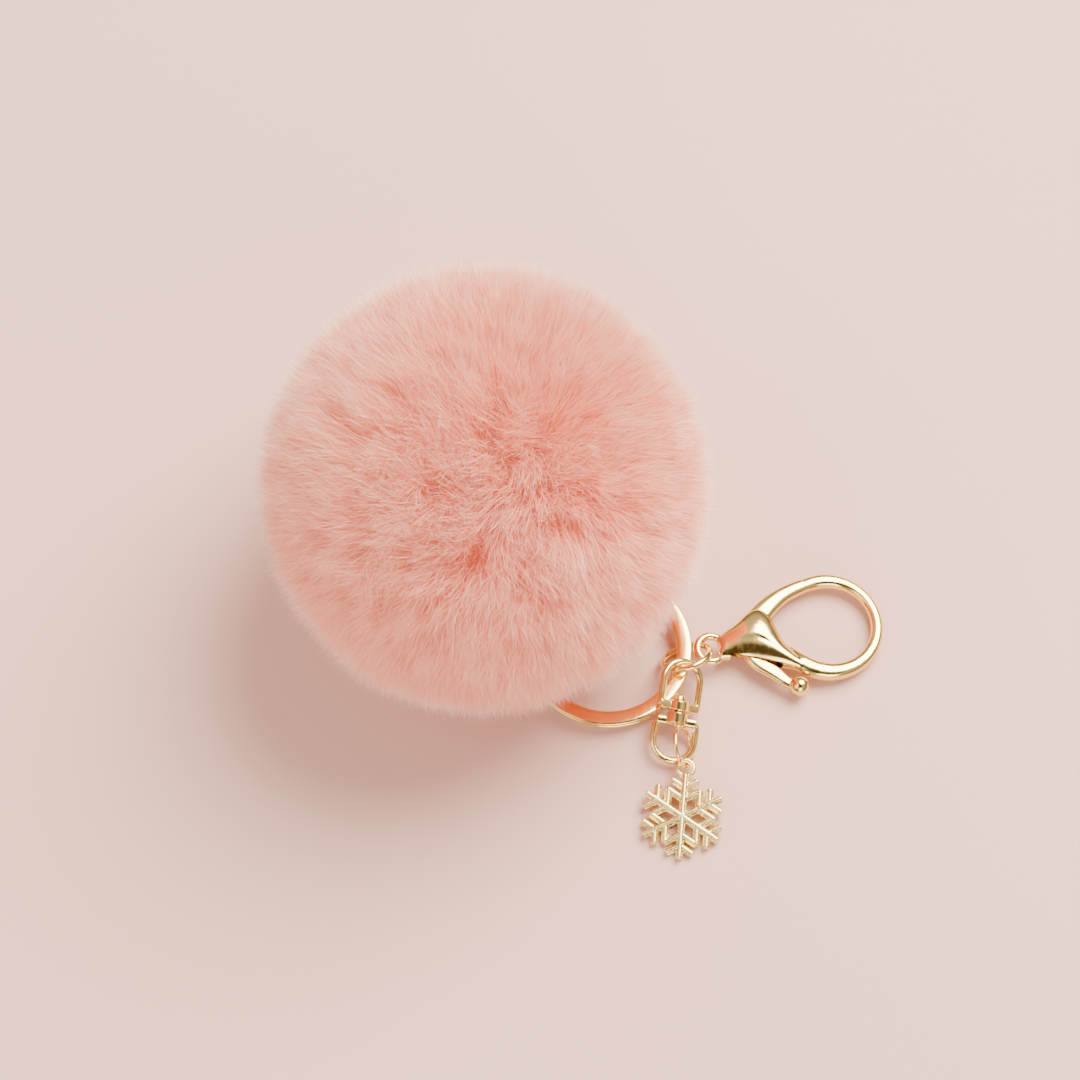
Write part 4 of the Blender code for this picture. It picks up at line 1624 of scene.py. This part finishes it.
@dataclass
class Swivel:
    """The swivel: an arched loop over a U-shaped loop, with a riveted neck between them."""

    lower_roll: float = 6.0
    half_width: float = 3.7
    upper_wire: float = 0.62
    lower_wire: float = 0.66
    upper_bar: float = -8.2
    lower_bar: float = -10.9
    foot: float = -18.03
    corner_radius: float = 1.2
    bar_radius: float = 0.8
    upper_boss: float = 2.0
    boss_length: float = 1.9
    lower_boss: float = 1.9
    boss_gap: float = 0.2
    head_radius: float = 1.2
    head_height: float = 1.3
    shank_radius: float = 0.45
    hole_radius: float = 0.62
    head_steps: int = 12
    bar_points: int = 12
    voxel: float = 0.09
    smoothing: int = 3

    def frames(self) -> tuple[Matrix, Matrix]:
        """The upper and lower loops' frames, both at the top of the arch.

        Returns:
            The two matrices, with -Y along the swivel.
        """
        top, side = joint_place("swivel_swing")
        _, down = joint_place("swivel_spin")
        level = UP.cross(down).normalized()
        lower_side = Matrix.Rotation(math.radians(self.lower_roll), 3, -down) @ level
        return axes_matrix(top, side, -down), axes_matrix(top, lower_side, -down)

    def lengthwise(self, name: str, start: float, end: float, radii: Radii, place: Matrix) -> Piece:
        """A turned solid on the swivel's own axis.

        Args:
            name: its name.
            start: where it starts along Y.
            end: where it ends along Y.
            radii: (share, radius) pairs.
            place: the loop's frame.

        Returns:
            The solid.
        """
        return rod(name, Vector((0.0, start, 0.0)), Vector((0.0, end, 0.0)), radii, place, 36)

    def crossbar(self, name: str, height: float, half: float, place: Matrix) -> Piece:
        """A flat bar across a loop.

        Args:
            name: its name.
            height: where it lies along Y.
            half: half its length.
            place: the loop's frame.

        Returns:
            The solid.
        """
        points = self.bar_points
        line = np.column_stack((np.linspace(-half, half, points), np.full(points, height), np.zeros(points)))
        return sweep(name, line, self.bar_radius, self.bar_radius, place, squareness=3.0, sides=24, cap=0.25)

    def upper(self, place: Matrix) -> Piece:
        """The arched loop with its bar and boss.

        Args:
            place: its frame.

        Returns:
            The casting.
        """
        top = arc((0.0, -self.half_width), self.half_width, 0.0, 180.0, 48)
        points = self.bar_points
        rise = np.linspace(self.upper_bar, -self.half_width, points, endpoint=False)
        right = np.column_stack((np.full(points, self.half_width), rise, np.zeros(points)))
        left = right[::-1] * np.array([-1.0, 1.0, 1.0])
        arch = sweep("arch", np.vstack((right, top, left)), self.upper_wire, self.upper_wire, place, sides=20)
        bar = self.crossbar("upper_bar", self.upper_bar, self.half_width, place)
        half = self.boss_length / 2
        rim = self.upper_boss * 0.86
        rounded = [(0.0, rim), (0.08, self.upper_boss), (0.92, self.upper_boss), (1.0, rim)]
        boss = self.lengthwise("upper_boss", self.upper_bar + half, self.upper_bar - half, rounded, place)
        casting = cast("swivel_arch", [arch, bar, boss], self.voxel, self.smoothing)
        over, under = self.upper_bar + 3.0, self.upper_bar - 3.0
        return cut(casting, self.lengthwise("upper_hole", over, under, even_radii(self.hole_radius), place))

    def lower(self, place: Matrix) -> Piece:
        """The U-shaped loop with its bar and boss.

        Args:
            place: its frame.

        Returns:
            The casting.
        """
        inner = self.half_width - self.corner_radius
        right_corner = arc((inner, self.lower_bar - self.corner_radius), self.corner_radius, 90.0, 0.0, 14)
        bend = arc((0.0, self.foot + self.half_width), self.half_width, 0.0, -180.0, 48)
        left_corner = arc((-inner, self.lower_bar - self.corner_radius), self.corner_radius, 180.0, 90.0, 14)
        path = np.vstack((right_corner, bend, left_corner))
        loop = sweep("u_loop", path, self.lower_wire, self.lower_wire, place, closed=True, sides=20)
        bar = self.crossbar("lower_bar", self.lower_bar, inner + 0.9, place)
        boss_top = self.upper_bar - self.boss_length / 2 - self.boss_gap
        rounded = [(0.0, self.lower_boss * 0.88), (0.07, self.lower_boss), (1.0, self.lower_boss)]
        boss = self.lengthwise("lower_boss", boss_top, self.lower_bar - 0.4, rounded, place)
        casting = cast("swivel_u", [loop, bar, boss], self.voxel, self.smoothing)
        over, under = boss_top + 1.0, self.lower_bar - 2.0
        return cut(casting, self.lengthwise("lower_hole", over, under, even_radii(self.hole_radius), place))

    def rivet(self, place: Matrix) -> Piece:
        """The rivet with its domed head.

        Args:
            place: the lower loop's frame.

        Returns:
            The rivet.
        """
        head_base = self.upper_bar + self.boss_length / 2 + self.boss_gap
        top = head_base + self.head_height
        foot = self.lower_bar - self.bar_radius - 0.1
        length = top - foot
        radii = []
        for angle in np.radians(np.linspace(88.0, 0.0, self.head_steps)):
            drop = self.head_height * (1 - math.sin(angle))
            radii.append((drop / length, self.head_radius * math.cos(angle)))
        shank = self.head_height / length
        radii.append((shank + 0.004, self.head_radius * 0.9))
        radii += [(shank + 0.008, self.shank_radius), (1.0, self.shank_radius)]
        return self.lengthwise("swivel_rivet_round", top, foot, radii, place)

    def build(self, finishes: Finishes) -> None:
        """Make the swivel.

        Args:
            finishes: the finishes.
        """
        upper_place, lower_place = self.frames()
        dress(self.upper(upper_place), finishes.gold, "gold_plating", Body.SWIVEL_TOP, "swivel_upper_loop")
        dress(self.lower(lower_place), finishes.gold, "gold_plating", Body.SWIVEL_FOOT, "swivel_lower_loop")
        dress(self.rivet(lower_place), finishes.gold, "gold_plating", Body.SWIVEL_FOOT, "swivel_rivet")


@dataclass
class Snowflake:
    """The cast snowflake: ridged arms and branches on a thicker base, with an eye."""

    centre: Place = (34.75, -48.6, 1.75)
    tilt: float = 6.5
    turn: float = -5.0
    arm_length: float = 8.15
    base_half_width: float = 0.70
    rod_radius: float = 0.46
    bottom: float = -0.75
    shelf: float = 0.02
    arm_height: float = 0.52
    branch_height: float = 0.34
    inner_branch: float = 3.2
    outer_branch: float = 5.3
    outer_length: float = 2.5
    arms: int = 6
    branch_angle: float = 60.0
    eye_height: float = 8.85
    eye_radius: float = 1.42
    eye_wire: float = 0.45
    bar_points: int = 8
    voxel: float = 0.088
    smoothing: int = 1

    def place(self) -> Matrix:
        """The charm's frame, at the middle of the snowflake.

        Returns:
            Its matrix.
        """
        turned = Matrix.Rotation(math.radians(self.turn), 4, "Z")
        turned @= Matrix.Rotation(math.radians(self.tilt), 4, "X")
        return Matrix.Translation(Vector(self.centre) * MM) @ turned

    def bar(
        self, name: str, start: np.ndarray, end: np.ndarray, height: float, place: Matrix
    ) -> list[Piece]:
        """One bar: a wide base with a narrower rod along its top.

        Args:
            name: its name.
            start: its first end, in millimetres.
            end: its second end.
            height: how high the rod's middle lies.
            place: the charm's frame.

        Returns:
            The base and the rod.
        """
        line = start + (end - start) * np.linspace(0, 1, self.bar_points)[:, None]
        base_line = line + np.array([0.0, 0.0, (self.bottom + self.shelf) / 2])
        base_half = (self.shelf - self.bottom) / 2
        base = sweep(
            name + "_base", base_line, self.base_half_width, base_half, place, squareness=3.4, sides=20
        )
        rod_line = line + np.array([0.0, 0.0, height])
        ridge = sweep(name + "_rod", rod_line, self.rod_radius, self.rod_radius, place, sides=20, cap=0.9)
        return [base, ridge]

    def build(self, finishes: Finishes) -> None:
        """Make the snowflake.

        Args:
            finishes: the finishes.
        """
        place = self.place()
        solids = []
        branches = ((self.inner_branch, self.inner_branch), (self.outer_branch, self.outer_length))
        for arm in range(self.arms):
            angle = math.radians(90.0 - 360.0 / self.arms * arm)
            along = np.array([math.cos(angle), math.sin(angle), 0.0])
            reach = self.eye_height - self.eye_radius if arm == 0 else self.arm_length - self.base_half_width
            solids += self.bar(f"arm_{arm}", np.zeros(3), along * reach, self.arm_height, place)
            for side in (self.branch_angle, -self.branch_angle):
                heading = angle + math.radians(side)
                out = np.array([math.cos(heading), math.sin(heading), 0.0])
                for root, length in branches:
                    start = along * root
                    solids += self.bar("branch", start, start + out * length, self.branch_height, place)
        eye_line = circle(self.eye_radius, steps=60) + np.array([0.0, self.eye_height, 0.0])
        solids.append(sweep("charm_eye", eye_line, self.eye_wire, self.eye_wire, place, closed=True, sides=20))
        flake = cast("snowflake_casting", solids, self.voxel, self.smoothing)
        dress(flake, finishes.pale_gold, "pale_gold_plating", Body.CHARM, "snowflake_charm")


# the studio


@dataclass(frozen=True)
class Lamp:
    """A soft round lamp: its place and size in millimetres, its power in watts and its tint."""

    name: str
    place: Place
    size: float
    power: float
    tint: Colour


@dataclass
class Studio:
    """The floor, the lights and the camera."""

    aim: Place = (9.58, 5.81, 0.0)
    distance: float = 700.0
    elevation: float = 66.0
    lens: float = 127.3
    sensor: float = 36.0
    nearest: float = 10.0
    floor_size: float = 3000.0
    card_edge: tuple[float, float] = (0.87, 0.95)
    card_colour: Colour = (0.10, 0.07, 0.05)
    room_light: float = 0.8
    room: tuple[tuple[float, Colour], ...] = (
        (0.0, (0.10, 0.06, 0.04)),
        (0.18, (0.30, 0.24, 0.20)),
        (0.5, (0.9, 0.82, 0.76)),
        (1.0, (1.0, 0.95, 0.90)),
    )
    lamps: tuple[Lamp, ...] = (
        Lamp("key_light", (340.0, 320.0, 700.0), 700.0, 27.5, (1.0, 0.94, 0.87)),
        Lamp("fill_light", (-550.0, -250.0, 600.0), 900.0, 4.5, (1.0, 0.94, 0.90)),
        Lamp("front_light", (150.0, -700.0, 350.0), 500.0, 4.0, (1.0, 0.95, 0.91)),
    )

    def view_direction(self) -> Vector:
        """The direction from the keychain to the camera."""
        tilt = math.radians(self.elevation)
        return Vector((0.0, -math.cos(tilt), math.sin(tilt)))

    def camera(self) -> None:
        """Place the camera."""
        data = bpy.data.cameras.new("camera")
        data.lens = self.lens
        data.sensor_width = self.sensor
        data.clip_start = self.nearest * MM
        camera = bpy.data.objects.new("camera", data)
        tilt = math.radians(self.elevation)
        camera.location = (Vector(self.aim) + self.view_direction() * self.distance) * MM
        camera.rotation_euler = (math.pi / 2 - tilt, 0.0, 0.0)
        bpy.context.scene.collection.objects.link(camera)
        bpy.context.scene.camera = camera

    def light(self, lamp: Lamp) -> None:
        """Hang a lamp that points at the keychain.

        Args:
            lamp: the lamp.
        """
        data = bpy.data.lights.new(lamp.name, "AREA")
        data.shape = "DISK"
        data.size = lamp.size * MM
        data.energy = lamp.power
        data.color = lamp.tint
        hung = bpy.data.objects.new(lamp.name, data)
        hung.location = Vector(lamp.place) * MM
        towards = (Vector(self.aim) - Vector(lamp.place)).normalized()
        hung.rotation_euler = towards.to_track_quat("-Z", "Y").to_euler()
        bpy.context.scene.collection.objects.link(hung)

    def floor(self, finishes: Finishes) -> None:
        """Lay the floor.

        Args:
            finishes: the finishes.
        """
        half = self.floor_size / 2
        corners = np.array([(-half, -half, 0.0), (half, -half, 0.0), (half, half, 0.0), (-half, half, 0.0)])
        floor = mesh_piece("floor", corners, [(0, 1, 2, 3)])
        floor.data.materials.append(finishes.floor)

    def world(self) -> None:
        """Fill the room with pale light, with a dark card behind the camera for the metal to mirror."""
        world = bpy.data.worlds.new("studio")
        world.use_nodes = True
        tree = world.node_tree
        direction = add_node(tree, "TexCoord")
        parts = add_node(tree, "SeparateXYZ")
        tree.links.new(direction.outputs["Generated"], parts.inputs["Vector"])
        facing = add_node(tree, "VectorMath", {"operation": "DOT_PRODUCT"})
        facing.inputs[1].default_value = self.view_direction()
        tree.links.new(direction.outputs["Generated"], facing.inputs[0])
        card = add_node(tree, "MapRange", From_Min=self.card_edge[0], From_Max=self.card_edge[1])
        tree.links.new(facing.outputs["Value"], card.inputs["Value"])
        room = ramp(tree, parts.outputs["Z"], list(self.room))
        background = tree.nodes["Background"]
        shaded = blend_colour(tree, card.outputs["Result"], room, self.card_colour)
        tree.links.new(shaded, background.inputs["Color"])
        background.inputs["Strength"].default_value = self.room_light
        bpy.context.scene.world = world

    def build(self, finishes: Finishes) -> None:
        """Set up the floor, the lights and the camera.

        Args:
            finishes: the finishes.
        """
        self.camera()
        self.floor(finishes)
        self.world()
        for lamp in self.lamps:
            self.light(lamp)


def main() -> None:
    """Build every sub-assembly."""
    logging.basicConfig(level=logging.INFO, format="%(name)s: %(message)s")
    finishes = make_finishes()
    for assembly in (Studio, Pompom, SplitRing, JumpRings, Clasp, Swivel, Snowflake):
        assembly().build(finishes)


if __name__ == "__main__":
    main()
